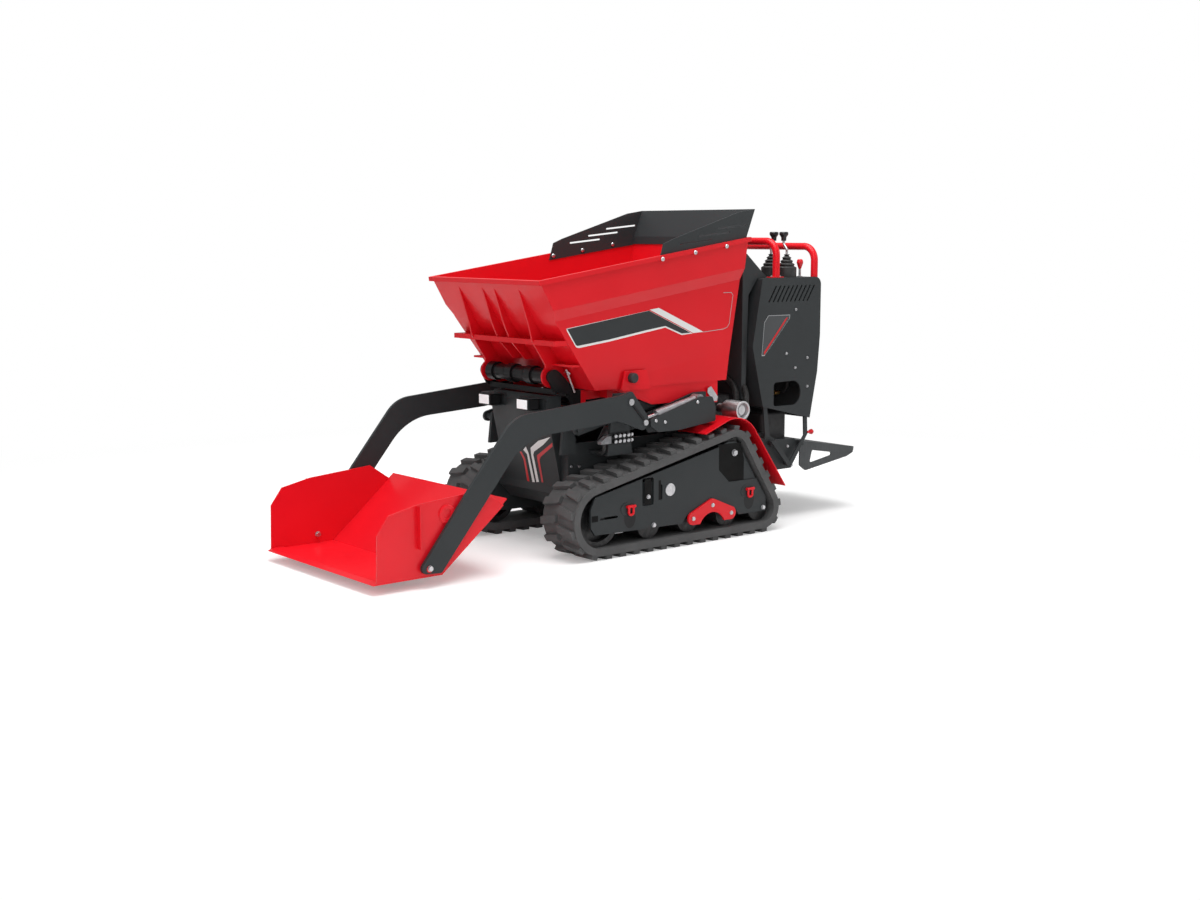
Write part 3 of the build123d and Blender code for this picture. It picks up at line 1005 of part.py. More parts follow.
# The right-hand running gear, brackets and arm are mirror images of the left-hand ones
left_pieces = {"track": track_left, "idler": idler_left, "sprocket": sprocket_left, "rollers": rollers_left,
               "track_frame": track_frame_left, "bogie": bogie_left, "fender": fender_left,
               "shackles": shackles_left, "ram_bracket": ram_bracket_left, "arm": arm_left}
for name, left_piece in left_pieces.items():
    with BuildPart() as right_piece:
        mirror(left_piece.part, about=Plane.XZ)
    save(right_piece.part, f"{name}_right")
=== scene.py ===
"""Tracked site dumper in a white studio.

Metres, +X forward to the shovel, +Y to the machine's left, +Z up, ground at zero.
"""
import math

import bpy
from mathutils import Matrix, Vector


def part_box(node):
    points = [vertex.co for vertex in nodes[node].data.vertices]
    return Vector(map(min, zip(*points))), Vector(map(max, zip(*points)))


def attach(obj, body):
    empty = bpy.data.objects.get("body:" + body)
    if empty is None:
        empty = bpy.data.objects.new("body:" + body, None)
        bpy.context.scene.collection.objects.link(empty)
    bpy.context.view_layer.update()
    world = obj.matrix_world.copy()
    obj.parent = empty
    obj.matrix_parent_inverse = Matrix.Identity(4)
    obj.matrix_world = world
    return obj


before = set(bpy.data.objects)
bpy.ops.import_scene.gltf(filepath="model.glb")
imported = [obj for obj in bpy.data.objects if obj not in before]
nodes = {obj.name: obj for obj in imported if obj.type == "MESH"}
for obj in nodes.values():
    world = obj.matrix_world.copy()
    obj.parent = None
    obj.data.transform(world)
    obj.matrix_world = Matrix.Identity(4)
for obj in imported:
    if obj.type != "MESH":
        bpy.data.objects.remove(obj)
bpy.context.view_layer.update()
scene = bpy.context.scene
scene.view_settings.view_transform = "Standard"


# The studio: a white seamless floor, one soft box overhead, one to the front left and a
# weak fill behind. It holds the machine's shadow and shows white to the camera.
FLOOR_SIZE = 60.0
FLOOR_COLOUR = (0.86, 0.86, 0.86, 1.0)
FLOOR_LIFT = 0.26             # what the white sweep adds to the floor, for the camera only
SWEEP_START = 2.3
SWEEP_END = 4.2
AMBIENT = 0.42
WHITE = (1, 1, 1, 1)


def feed(tree, socket, value):
    """Sets a socket to a value, or links it where the value is a socket."""
    if isinstance(value, bpy.types.NodeSocket):
        tree.links.new(value, socket)
    else:
        socket.default_value = value


def add_node(tree, kind, **inputs):
    """A shader node with these input values."""
    node = tree.nodes.new(kind)
    for name, value in inputs.items():
        feed(tree, node.inputs[name.replace("_", " ")], value)
    return node


def arithmetic(tree, operation, first, second):
    """One Math node; each operand is a number or a socket."""
    node = tree.nodes.new("ShaderNodeMath")
    node.operation = operation
    feed(tree, node.inputs[0], first)
    feed(tree, node.inputs[1], second)
    return node.outputs[0]


def either_shader(tree, share, first, second):
    """Mixes two shaders by a share."""
    mix = tree.nodes.new("ShaderNodeMixShader")
    for socket, value in zip(mix.inputs, (share, first, second)):
        tree.links.new(value, socket)
    return mix.outputs[0]


def soft_box(name, place, target, size, watts):
    """A square lamp that faces a target."""
    lamp = bpy.data.lights.new(name, "AREA")
    lamp.shape = "SQUARE"
    lamp.size = size
    lamp.energy = watts
    holder = bpy.data.objects.new(name, lamp)
    holder.location = place
    holder.rotation_euler = (Vector(target) - Vector(place)).to_track_quat("-Z", "Y").to_euler()
    scene.collection.objects.link(holder)


world = bpy.data.worlds.new("studio")
scene.world = world
world.use_nodes = True
sky = world.node_tree
sky.nodes.clear()
rays = sky.nodes.new("ShaderNodeLightPath")
seen = arithmetic(sky, "MAXIMUM", rays.outputs["Is Camera Ray"], rays.outputs["Is Transmission Ray"])
dim = add_node(sky, "ShaderNodeBackground", Color=WHITE, Strength=AMBIENT)
bright = add_node(sky, "ShaderNodeBackground", Color=WHITE, Strength=1.0)
sky_out = sky.nodes.new("ShaderNodeOutputWorld")
sky.links.new(either_shader(sky, seen, dim.outputs[0], bright.outputs[0]), sky_out.inputs["Surface"])

floor_mesh = bpy.data.meshes.new("floor")
half = FLOOR_SIZE / 2
corners = [(-half, -half, 0), (half, -half, 0), (half, half, 0), (-half, half, 0)]
floor_mesh.from_pydata(corners, [], [(0, 1, 2, 3)])
floor = bpy.data.objects.new("floor", floor_mesh)
scene.collection.objects.link(floor)
floor_material = bpy.data.materials.new("studio floor")
floor_material.use_nodes = True
ground = floor_material.node_tree
ground.nodes.clear()
matt = add_node(ground, "ShaderNodeBsdfDiffuse", Color=FLOOR_COLOUR)
lift = add_node(ground, "ShaderNodeEmission", Color=WHITE, Strength=FLOOR_LIFT)
both = ground.nodes.new("ShaderNodeAddShader")
ground.links.new(matt.outputs[0], both.inputs[0])
ground.links.new(lift.outputs[0], both.inputs[1])
paper = add_node(ground, "ShaderNodeEmission", Color=WHITE, Strength=1.0)
spot = ground.nodes.new("ShaderNodeNewGeometry")
reach = ground.nodes.new("ShaderNodeVectorMath")
reach.operation = "LENGTH"
ground.links.new(spot.outputs["Position"], reach.inputs[0])
fade = add_node(ground, "ShaderNodeMapRange", Value=reach.outputs["Value"], From_Min=SWEEP_START,
                From_Max=SWEEP_END)
fade.interpolation_type = "SMOOTHSTEP"
floor_rays = ground.nodes.new("ShaderNodeLightPath")
near_or_far = either_shader(ground, fade.outputs["Result"], both.outputs[0], paper.outputs[0])
shown = either_shader(ground, floor_rays.outputs["Is Camera Ray"], matt.outputs[0], near_or_far)
ground_out = ground.nodes.new("ShaderNodeOutputMaterial")
ground.links.new(shown, ground_out.inputs["Surface"])
floor_mesh.materials.append(floor_material)

soft_box("overhead box", place=(0.3, 0.3, 4.6), target=(0, 0, 0.4), size=3.6, watts=235)
soft_box("front left box", place=(4.6, 3.4, 2.8), target=(0.3, 0, 0.5), size=2.6, watts=62)
soft_box("rear fill", place=(-4.5, 3.0, 2.6), target=(0, 0, 0.5), size=2.4, watts=30)


# The camera stands at the machine's front left, a little below the hopper's rim.
CAMERA_PLACE = (4.0865, 4.976, 1.277)
CAMERA_HEADING = math.radians(230.4)
CAMERA_PITCH = math.radians(-8.1)
CAMERA_LENS = 45.85
SENSOR_WIDTH = 36.0

camera_data = bpy.data.cameras.new("camera")
camera_data.lens = CAMERA_LENS
camera_data.sensor_width = SENSOR_WIDTH
camera = bpy.data.objects.new("camera", camera_data)
camera.location = CAMERA_PLACE
camera.rotation_euler = (math.pi / 2 + CAMERA_PITCH, 0, CAMERA_HEADING - math.pi / 2)
scene.collection.objects.link(camera)
scene.camera = camera


# Rubber tracks: one moulded loop of black rubber each, with its lugs. The rubber is dull
# and finely pitted, with the grey bloom of rubber that has been outdoors.
RUBBER_TONES = ((0.082, 0.082, 0.083), (0.106, 0.106, 0.107))
RUBBER_SPECULAR = 0.2
NOISE_LOW = 0.3               # nearly all of a noise lies between these two
NOISE_HIGH = 0.7


def new_material(name):
    """A material with its node tree and its surface shader."""
    material = bpy.data.materials.new(name)
    material.use_nodes = True
    return material, material.node_tree, material.node_tree.nodes["Principled BSDF"]


def link_bump(tree, shader, height, strength, distance):
    """Roughens a surface by a height."""
    bump = add_node(tree, "ShaderNodeBump", Height=height, Strength=strength, Distance=distance)
    tree.links.new(bump.outputs["Normal"], shader.inputs["Normal"])


def place_of(tree):
    """Where a point lies on its own piece."""
    return tree.nodes.new("ShaderNodeTexCoord").outputs["Object"]


def varied(tree, low, high, scale, detail=4.0):
    """A noise that runs between two numbers."""
    noise = add_node(tree, "ShaderNodeTexNoise", Vector=place_of(tree), Scale=scale, Detail=detail)
    span = add_node(tree, "ShaderNodeMapRange", Value=noise.outputs["Fac"], From_Min=NOISE_LOW,
                    From_Max=NOISE_HIGH, To_Min=low, To_Max=high)
    return span.outputs["Result"]


def cloud(tree, scale, detail=4.0):
    """A noise that runs from none to full."""
    return varied(tree, 0.0, 1.0, scale, detail)


def two_tone(tree, share, first, second):
    """A colour between two; each is three numbers or a socket."""
    mix = tree.nodes.new("ShaderNodeMix")
    mix.data_type = "RGBA"
    tree.links.new(share, mix.inputs["Factor"])
    for socket, value in ((mix.inputs["A"], first), (mix.inputs["B"], second)):
        feed(tree, socket, value if isinstance(value, bpy.types.NodeSocket) else (*value, 1))
    return mix.outputs["Result"]


def mottled(name, tones, patches, roughness, detail=4.0):
    """A material of two tones in patches of a scale, its roughness given as (low, high, scale)."""
    material, tree, shader = new_material(name)
    tree.links.new(two_tone(tree, cloud(tree, patches, detail), *tones), shader.inputs["Base Color"])
    tree.links.new(varied(tree, *roughness), shader.inputs["Roughness"])
    return material, tree, shader


def dress(material, *names):
    """Gives CAD nodes this finish."""
    for name in names:
        slots = nodes[name].data.materials
        slots.clear()
        slots.append(material)


def both_sides(*names):
    """The names of the left and the right node."""
    return [f"{name}_{side}" for name in names for side in ("left", "right")]


rubber, tree, shader = mottled("moulded rubber", RUBBER_TONES, patches=9.0, roughness=(0.66, 0.86, 24.0),
                               detail=8.0)
shader.inputs["Specular IOR Level"].default_value = RUBBER_SPECULAR
link_bump(tree, shader, cloud(tree, scale=420.0, detail=6.0), strength=0.25, distance=0.0006)
dress(rubber, *both_sides("track"))


# Track frames: welded steel plate in dark grey enamel, with zinc plated hexagon bolts and a
# pale hub disc. Near black films in the slots and the rear recess are painted shade; the track tensioner's
# grease nipple shows in one slot.
ENAMEL_SPECULAR = 0.25
COAT_ROUGHNESS = 0.12
LEFT_AND_RIGHT = (1, -1)
OUTSIDE_Y = 1.0               # well clear of the machine's side
RAY_LENGTH = 1.2
ROUND_STEPS = 24
FRAME_BOLTS = [(0.045, 0.106), (-0.583, 0.107)]
IDLER_BOLTS = [(0.320, 0.164)]
HUB_BOLTS = [(-0.411, 0.359)]
HUB_DISCS = [(-0.045, 0.241)]
SLOTS = [(0.075, 0.245, 0.017, 0.052), (0.012, 0.245, 0.006, 0.040), (0.352, 0.166, 0.016, 0.012)]
SLOT_Y = 0.4303
REAR_RECESS = [(-0.3185, 0.400), (-0.3195, 0.295), (-0.381, 0.238), (-0.470, 0.237), (-0.470, 0.330),
               (-0.450, 0.400)]
REAR_RECESS_Y = 0.4253
NIPPLE = (0.075, 0.4305, 0.225)


def paint(name, colour, darker, roughness, coat, peel):
    """Sprayed enamel over steel: slow drift of tone, faint orange peel under a clear coat."""
    material, tree, shader = mottled(name, (colour, darker), patches=3.0,
                                     roughness=(roughness * 0.88, roughness * 1.12, 9.0))
    shader.inputs["Specular IOR Level"].default_value = ENAMEL_SPECULAR
    shader.inputs["Coat Weight"].default_value = coat
    shader.inputs["Coat Roughness"].default_value = COAT_ROUGHNESS
    link_bump(tree, shader, cloud(tree, scale=140.0, detail=2.0), strength=peel, distance=0.0002)
    return material


def metal(name, colour, darker, roughness, grain):
    """Bare or plated metal with a cloudy tone and fine handling marks."""
    material, tree, shader = mottled(name, (colour, darker), patches=60.0,
                                     roughness=(roughness * 0.7, roughness * 1.3, 90.0))
    shader.inputs["Metallic"].default_value = 1.0
    link_bump(tree, shader, cloud(tree, scale=grain, detail=3.0), strength=0.12, distance=0.0002)
    return material


def make(name, body, material, points, faces, smooth=False):
    """A mesh piece that rides on a body."""
    mesh = bpy.data.meshes.new(name)
    mesh.from_pydata([tuple(point) for point in points], [], faces)
    mesh.materials.append(material)
    mesh.update()
    piece = bpy.data.objects.new(name, mesh)
    scene.collection.objects.link(piece)
    if smooth:
        mesh.shade_smooth()
    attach(piece, body)


def turned(place, normal, profile):
    """Rings along a normal, each (radius, height, corners): 6 makes a hexagon, 0 a circle."""
    turn = Vector(normal).to_track_quat("Z", "X").to_matrix()
    points = []
    for radius, height, corners_round in profile:
        for step in range(ROUND_STEPS):
            angle = 2 * math.pi * step / ROUND_STEPS
            length = radius
            if corners_round:
                wedge = math.pi / corners_round
                length *= math.cos(wedge) / math.cos(angle % (2 * wedge) - wedge)
            flat = Vector((length * math.cos(angle), length * math.sin(angle), height))
            points.append(Vector(place) + turn @ flat)
    faces = [tuple(range(ROUND_STEPS))[::-1]]
    for ring in range(len(profile) - 1):
        for step in range(ROUND_STEPS):
            low = ring * ROUND_STEPS
            high = low + ROUND_STEPS
            after = (step + 1) % ROUND_STEPS
            faces.append((low + step, low + after, high + after, high + step))
    top = (len(profile) - 1) * ROUND_STEPS
    faces.append(tuple(range(top, top + ROUND_STEPS)))
    return points, faces


def gathered(parts):
    """Several (points, faces) as one."""
    points = []
    faces = []
    for some_points, some_faces in parts:
        start = len(points)
        points.extend(some_points)
        faces.extend([tuple(start + i for i in face) for face in some_faces])
    return points, faces


def film(name, body, material, outlines):
    """Flat pieces laid on a face, one for each outline."""
    parts = [(outline, [tuple(range(len(outline)))]) for outline in outlines]
    make(name, body, material, *gathered(parts))


def rectangle(across, up, half_wide, half_high):
    """Four corners round a middle."""
    return [(across - half_wide, up - half_high), (across + half_wide, up - half_high),
            (across + half_wide, up + half_high), (across - half_wide, up + half_high)]


def upright(outline, y):
    """An (x, z) outline stood up at this y."""
    return [(x, y, z) for x, z in outline]


def seat(node, start, direction):
    """Where a ray first meets a CAD node, and the surface's normal there."""
    piece = nodes[node]
    into = piece.matrix_world.inverted()
    found, where, normal, _ = piece.ray_cast(into @ Vector(start), into.to_3x3() @ Vector(direction),
                                             distance=RAY_LENGTH)
    if not found:
        raise ValueError(f"nothing of {node} lies beyond {start}")
    turn = piece.matrix_world.to_3x3()
    return piece.matrix_world @ where, (turn @ normal).normalized()


def hexagon_bolt(size, flatness=1.0):
    """Washer and chamfered head for a bolt of this thread."""
    height = size * flatness
    washer = height * 0.2
    flats = size * 0.92
    top = height * 0.84
    return [(size, 0, 0), (size, washer, 0), (flats, washer, 6), (flats, height * 0.72, 6),
            (size * 0.76, top, 0), (size * 0.5, top, 0)]


def dome(size):
    """A low round head."""
    return [(size, 0, 0), (size, size * 0.3, 0), (size * 0.8, size * 0.55, 0), (size * 0.4, size * 0.66, 0)]


def disc(radius, height):
    """A flat round head with a bevelled rim."""
    return [(radius, 0, 0), (radius, height * 0.7, 0), (radius * 0.94, height, 0)]


def fasten(name, body, node, profile, spots, material, from_within=False):
    """Seats a turned form at each (x, z) on the side of a CAD node, left and right."""
    parts = []
    for x, z in spots:
        for side in LEFT_AND_RIGHT:
            target = node.replace("_left", "_right") if side < 0 else node
            if from_within:
                where, normal = seat(target, (x, 0, z), (0, side, 0))
            else:
                where, normal = seat(target, (x, side * OUTSIDE_Y, z), (0, -side, 0))
            parts.append(turned(where, normal, profile))
    make(name, body, material, *gathered(parts))


bpy.context.view_layer.update()
dark = paint("dark grey enamel", colour=(0.034, 0.038, 0.040), darker=(0.029, 0.033, 0.035),
             roughness=0.44, coat=0.0, peel=0.05)
black = paint("black enamel", colour=(0.009, 0.009, 0.010), darker=(0.006, 0.006, 0.007),
              roughness=0.38, coat=0.1, peel=0.05)
# Near black film laid over slots and recesses: painted shade, standing in for the dark inside them.
slot_shade_film = paint("shadowed slot", colour=(0.004, 0.004, 0.004), darker=(0.003, 0.003, 0.003),
               roughness=0.8, coat=0.0, peel=0.0)
zinc = metal("zinc plate", colour=(0.66, 0.66, 0.67), darker=(0.52, 0.52, 0.54), roughness=0.32, grain=500.0)
dress(dark, *both_sides("track_frame"))
fasten("track_frame_bolts", "machine", "track_frame_left", hexagon_bolt(0.010), FRAME_BOLTS, zinc)
fasten("idler_bolts", "machine", "track_frame_left", hexagon_bolt(0.012), IDLER_BOLTS, zinc)
fasten("hub_bolts", "machine", "track_frame_left", hexagon_bolt(0.014), HUB_BOLTS, zinc)
fasten("hub_discs", "machine", "track_frame_left", disc(0.026, 0.003), HUB_DISCS, zinc)
# The slot and rear recess outlines get the painted shade film.
slots = [upright(rectangle(*slot), side * SLOT_Y) for side in LEFT_AND_RIGHT for slot in SLOTS]
slots.extend(upright(REAR_RECESS, side * REAR_RECESS_Y) for side in LEFT_AND_RIGHT)
film("painted_slot_shade", "machine", slot_shade_film, slots)
nipples = []
for side in LEFT_AND_RIGHT:
    nipple_place = (NIPPLE[0], side * NIPPLE[1], NIPPLE[2])
    nipples.append(turned(nipple_place, (0, side, 0), hexagon_bolt(0.009)))
make("tensioner_nipples", "machine", zinc, *gathered(nipples))


# Running wheels: cast idlers, rollers and toothed sprockets in black, a little greyer in
# spots where the track's links rub. The engine's block has the same finish.
CAST_TONES = ((0.014, 0.014, 0.015), (0.030, 0.030, 0.031))
CAST_SPOTS_FROM = 0.62
ROLLER_PINS = [(-0.126, 0.106)]

cast, tree, shader = new_material("burnished casting")
worn = arithmetic(tree, "GREATER_THAN", cloud(tree, scale=55.0, detail=8.0), CAST_SPOTS_FROM)
tree.links.new(two_tone(tree, worn, *CAST_TONES), shader.inputs["Base Color"])
tree.links.new(varied(tree, 0.38, 0.60, scale=40.0), shader.inputs["Roughness"])
link_bump(tree, shader, cloud(tree, scale=180.0, detail=5.0), strength=0.3, distance=0.0006)
dress(cast, *both_sides("idler", "sprocket", "rollers"))
fasten("roller_pins", "machine", "rollers_left", dome(0.009), ROLLER_PINS, zinc)


# Fenders, bogies and shackles: bent and cut plate in glossy red enamel. The bogies hang on
# plated bolts, and the lashing shackles sit on small oval pads of black enamel.
BOGIE_BOLTS = [(-0.167, 0.107), (-0.276, 0.152), (-0.385, 0.107)]
BOGIE_BOLT_FLATNESS = 0.7
PAD_X = (0.171, -0.498)
PAD_Z = 0.150
PAD_Y = 0.4304
PAD_HALF_WIDE = 0.030
PAD_HALF_HIGH = 0.042

RED_TONES = ((0.76, 0.006, 0.015), (0.71, 0.005, 0.013))
red = paint("red enamel", *RED_TONES, roughness=0.34, coat=0.15, peel=0.03)
dress(red, *both_sides("fender", "bogie", "shackles"))
fasten("bogie_bolts", "machine", "bogie_left", hexagon_bolt(0.009, BOGIE_BOLT_FLATNESS), BOGIE_BOLTS, zinc)
pads = []
for side in LEFT_AND_RIGHT:
    for x in PAD_X:
        oval = []
        for step in range(ROUND_STEPS):
            angle = 2 * math.pi * step / ROUND_STEPS
            oval.append((x + PAD_HALF_WIDE * math.cos(angle), PAD_Z + PAD_HALF_HIGH * math.sin(angle)))
        pads.append(upright(oval, side * PAD_Y))
film("shackle_pads", "machine", black, pads)


# Chassis, arm pins and ram brackets: folded and welded plate in dark enamel with zinc plated
# pins. Small plated bolts stand on the tub's sides and on the brackets.
CHASSIS_BOLTS = [(0.273, 0.344), (0.315, 0.348)]
BRACKET_BOLTS = [(0.013, 0.525), (-0.037, 0.516), (-0.216, 0.585)]

dress(dark, "chassis", *both_sides("ram_bracket"))
dress(zinc, "arm_pins")
fasten("chassis_bolts", "machine", "chassis", hexagon_bolt(0.006), CHASSIS_BOLTS, zinc)
fasten("ram_bracket_bolts", "machine", "ram_bracket_left", dome(0.007), BRACKET_BOLTS, zinc)


# Valve blocks: a black body under each loader arm, two rows of plated caps, and a pale
# cast cover on its front end, from which a hose runs down into the chassis.
SPOOL_ROWS = (0.451, 0.473)
SPOOLS = 4
SPOOL_START_X = 0.122
SPOOL_SPACING = 0.022
SPOOL_Y = 0.3592
SPOOL_CAP = [(0.0078, 0, 0), (0.0078, 0.006, 0), (0.006, 0.007, 0)]
UNION_X = 0.098
UNION_Y = 0.3543
COVER = [(0.222, 0.446), (0.222, 0.478), (0.246, 0.478), (0.278, 0.457), (0.274, 0.446)]
COVER_MIDDLE = (0.245, 0.460)
COVER_INNER_Y = 0.3546
COVER_OUTER_Y = 0.376
COVER_DRAFT = (0.96, 0.90)    # the cover's outer face against its inner one, along x and z
VALVE_HOSE = [(0.252, 0.366, 0.447), (0.250, 0.366, 0.425), (0.243, 0.345, 0.405), (0.225, 0.300, 0.400),
              (0.200, 0.2355, 0.400)]


def raised(lower, upper):
    """A form from one outline up to another of as many points, closed over the top."""
    count = len(lower)
    walls = [(i, (i + 1) % count, count + (i + 1) % count, count + i) for i in range(count)]
    return lower + upper, walls + [tuple(range(count, 2 * count))]


def shrunk(outline, middle, share_x, share_z):
    """An outline drawn in to a point."""
    return [(middle[0] + (x - middle[0]) * share_x, middle[1] + (z - middle[1]) * share_z)
            for x, z in outline]


def hose(name, body, points, radius, material):
    """A bent tube through these points."""
    curve = bpy.data.curves.new(name, "CURVE")
    curve.dimensions = "3D"
    curve.bevel_depth = radius
    curve.bevel_resolution = 3
    curve.resolution_u = 6
    curve.use_fill_caps = True
    spline = curve.splines.new("NURBS")
    spline.points.add(len(points) - 1)
    for target, point in zip(spline.points, points):
        target.co = (*point, 1)
    spline.order_u = 3
    spline.use_endpoint_u = True
    curve.materials.append(material)
    piece = bpy.data.objects.new(name, curve)
    scene.collection.objects.link(piece)
    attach(piece, body)


pale_cast = metal("pale casting", colour=(0.30, 0.30, 0.31), darker=(0.22, 0.22, 0.23), roughness=0.55,
                  grain=260.0)
dress(black, "valve_block")
caps = []
covers = []
for side in LEFT_AND_RIGHT:
    for column in range(SPOOLS):
        for z in SPOOL_ROWS:
            spool_place = (SPOOL_START_X + SPOOL_SPACING * column, side * SPOOL_Y, z)
            caps.append(turned(spool_place, (0, side, 0), SPOOL_CAP))
    for z in SPOOL_ROWS:
        caps.append(turned((UNION_X, side * UNION_Y, z), (0, side, 0), hexagon_bolt(0.007)))
    outer_face = shrunk(COVER, COVER_MIDDLE, *COVER_DRAFT)
    covers.append(raised(upright(COVER, side * COVER_INNER_Y), upright(outer_face, side * COVER_OUTER_Y)))
make("valve_caps", "machine", zinc, *gathered(caps))
make("valve_covers", "machine", pale_cast, *gathered(covers))
hose_rubber, tree, shader = mottled("hose rubber", ((0.018, 0.018, 0.018), (0.030, 0.030, 0.030)),
                                    patches=80.0, roughness=(0.45, 0.65, 60.0))
link_bump(tree, shader, cloud(tree, scale=700.0, detail=2.0), strength=0.2, distance=0.0003)
for side, name in zip(LEFT_AND_RIGHT, both_sides("valve_hose")):
    hose(name, "machine", [(x, side * y, z) for x, y, z in VALVE_HOSE], radius=0.007, material=hose_rubber)


# Front cowl: a folded steel box on the chassis nose, dark enamel, with a printed film of
# two white and two red stripes that part at the top like a fork.
COWL_FOOT_X = 0.3303
COWL_FOOT_Z = 0.256
COWL_SLOPE = 0.2188
STRIPE_GAP = 0.0005
WHITE_STRIPES = [
    [(0.030, 0.406), (0.093, 0.442), (0.180, 0.467), (0.123, 0.429), (0.050, 0.392), (0.041, 0.378),
     (0.045, 0.264), (0.027, 0.260), (0.026, 0.376)],
    [(-0.0235, 0.392), (-0.001, 0.408), (0.010, 0.382), (0.016, 0.259), (-0.001, 0.257), (-0.003, 0.375)]]
RED_STRIPES = [
    [(-0.052, 0.381), (-0.038, 0.382), (-0.021, 0.352), (-0.021, 0.257), (-0.036, 0.257), (-0.0345, 0.350)],
    [(0.065, 0.378), (0.186, 0.444), (0.183, 0.428), (0.090, 0.375), (0.077, 0.360), (0.075, 0.266),
     (0.064, 0.264), (0.063, 0.361)]]


def cowl_face(outline):
    """A (y, z) outline laid on the cowl's slanting front."""
    return [(COWL_FOOT_X + COWL_SLOPE * (z - COWL_FOOT_Z) + STRIPE_GAP, y, z) for y, z in outline]


white_film = paint("white film", colour=(0.80, 0.80, 0.79), darker=(0.76, 0.76, 0.75), roughness=0.35,
                   coat=0.3, peel=0.0)
red_film = paint("red film", colour=(0.60, 0.020, 0.026), darker=(0.56, 0.018, 0.022), roughness=0.35,
                 coat=0.3, peel=0.0)
dress(dark, "front_cowl")
film("white_cowl_stripes", "machine", white_film, [cowl_face(stripe) for stripe in WHITE_STRIPES])
film("red_cowl_stripes", "machine", red_film, [cowl_face(stripe) for stripe in RED_STRIPES])


# Work lamps: square die cast lamps in black with a pale ribbed lens, on bent steel
# brackets. The unlit lens glows faintly: painted brightness standing in for light off the white reflector
# behind it.
LAMP_Y = 0.130
LENS_X = 0.4802
LENS_CROWN_X = 0.4826
LENS_Z = 0.6015
LENS_HALF_WIDE = 0.034
LENS_HALF_HIGH = 0.0185
LENS_BEVEL = 0.003
LENS_PAINTED_GLOW = 0.25

dress(dark, "lamp_brackets")
dress(black, "work_lamps")
lens, tree, shader = new_material("lamp lens")
lens_tone = two_tone(tree, cloud(tree, scale=40.0), (0.90, 0.91, 0.92), (0.84, 0.85, 0.87))
tree.links.new(lens_tone, shader.inputs["Base Color"])
shader.inputs["Roughness"].default_value = 0.12
shader.inputs["Coat Weight"].default_value = 0.5
# Emission on an unlit lens: a painted highlight, not a lamp that is on.
shader.inputs["Emission Color"].default_value = WHITE
shader.inputs["Emission Strength"].default_value = LENS_PAINTED_GLOW
ribs = add_node(tree, "ShaderNodeTexWave", Vector=place_of(tree), Scale=60.0)
ribs.bands_direction = "Y"
link_bump(tree, shader, ribs.outputs["Fac"], strength=0.2, distance=0.0004)
lenses = []
for side in LEFT_AND_RIGHT:
    rim = rectangle(side * LAMP_Y, LENS_Z, LENS_HALF_WIDE, LENS_HALF_HIGH)
    crown = rectangle(side * LAMP_Y, LENS_Z, LENS_HALF_WIDE - LENS_BEVEL, LENS_HALF_HIGH - LENS_BEVEL)
    lenses.append(raised([(LENS_X, y, z) for y, z in rim], [(LENS_CROWN_X, y, z) for y, z in crown]))
make("lamp_lenses", "machine", lens, *gathered(lenses))


# Engine and exhaust: a cast iron block in black under a dark sheet cover, a spiral wrapped
# bright steel exhaust drum, and two ribbed black hoses that run up in front of the console.
RIBBED_HOSE_FEET = ((-0.560, 0.272), (-0.592, 0.300))
RIBBED_HOSE = [(0, 0, 0.470), (-0.010, 0, 0.530), (-0.022, -0.010, 0.585), (-0.035, -0.050, 0.630),
               (-0.045, -0.110, 0.650)]

dress(cast, "engine")
dress(dark, "engine_cover")
spiral, tree, shader = mottled("spiral wrapped steel", ((0.78, 0.78, 0.79), (0.55, 0.55, 0.57)),
                               patches=30.0, roughness=(0.30, 0.42, 50.0))
shader.inputs["Metallic"].default_value = 1.0
wrap = add_node(tree, "ShaderNodeTexWave", Vector=place_of(tree), Scale=40.0)
wrap.bands_direction = "Y"
link_bump(tree, shader, wrap.outputs["Fac"], strength=0.7, distance=0.002)
dress(spiral, "exhaust_drum")
ribbed, tree, shader = new_material("ribbed hose")
shader.inputs["Base Color"].default_value = (0.014, 0.014, 0.014, 1)
shader.inputs["Roughness"].default_value = 0.5
folds = add_node(tree, "ShaderNodeTexWave", Vector=place_of(tree), Scale=55.0)
folds.bands_direction = "Z"
link_bump(tree, shader, folds.outputs["Fac"], strength=0.9, distance=0.003)
for number, (foot_x, foot_y) in enumerate(RIBBED_HOSE_FEET):
    route = [(foot_x + x, foot_y + y, z) for x, y, z in RIBBED_HOSE]
    hose(f"ribbed_hose_{number + 1}", "machine", route, radius=0.014, material=ribbed)


# Console: a folded housing with bolted side panels, a row of slanting louvres and a round
# hole through which a brass hose fitting shows. The film on the panel's upper part is blank.
CONSOLE_BOLTS = [(-0.906, 0.940), (-0.850, 0.748), (-0.985, 0.723), (-0.908, 0.682), (-0.988, 0.594)]
LABEL = [(-0.735, 0.919), (-0.871, 0.918), (-0.869, 0.902), (-0.715, 0.744), (-0.696, 0.744),
         (-0.709, 0.889)]
LABEL_MIDDLE = [sum(places) / len(LABEL) for places in zip(*LABEL)]
LABEL_INNER_SHARE = 0.965
LABEL_STRIPE = [(-0.857, 0.906), (-0.846, 0.906), (-0.709, 0.760), (-0.711, 0.747)]
LABEL_EDGE_Y = 0.3003
LABEL_FACE_Y = 0.3006
LABEL_STRIPE_Y = 0.3009
FITTING_PLACE = (-0.965, 0.150, 0.556)
FITTING = [(0.010, 0, 0), (0.010, 0.016, 0), (0.013, 0.016, 6), (0.013, 0.030, 6), (0.009, 0.032, 0),
           (0.009, 0.046, 0)]
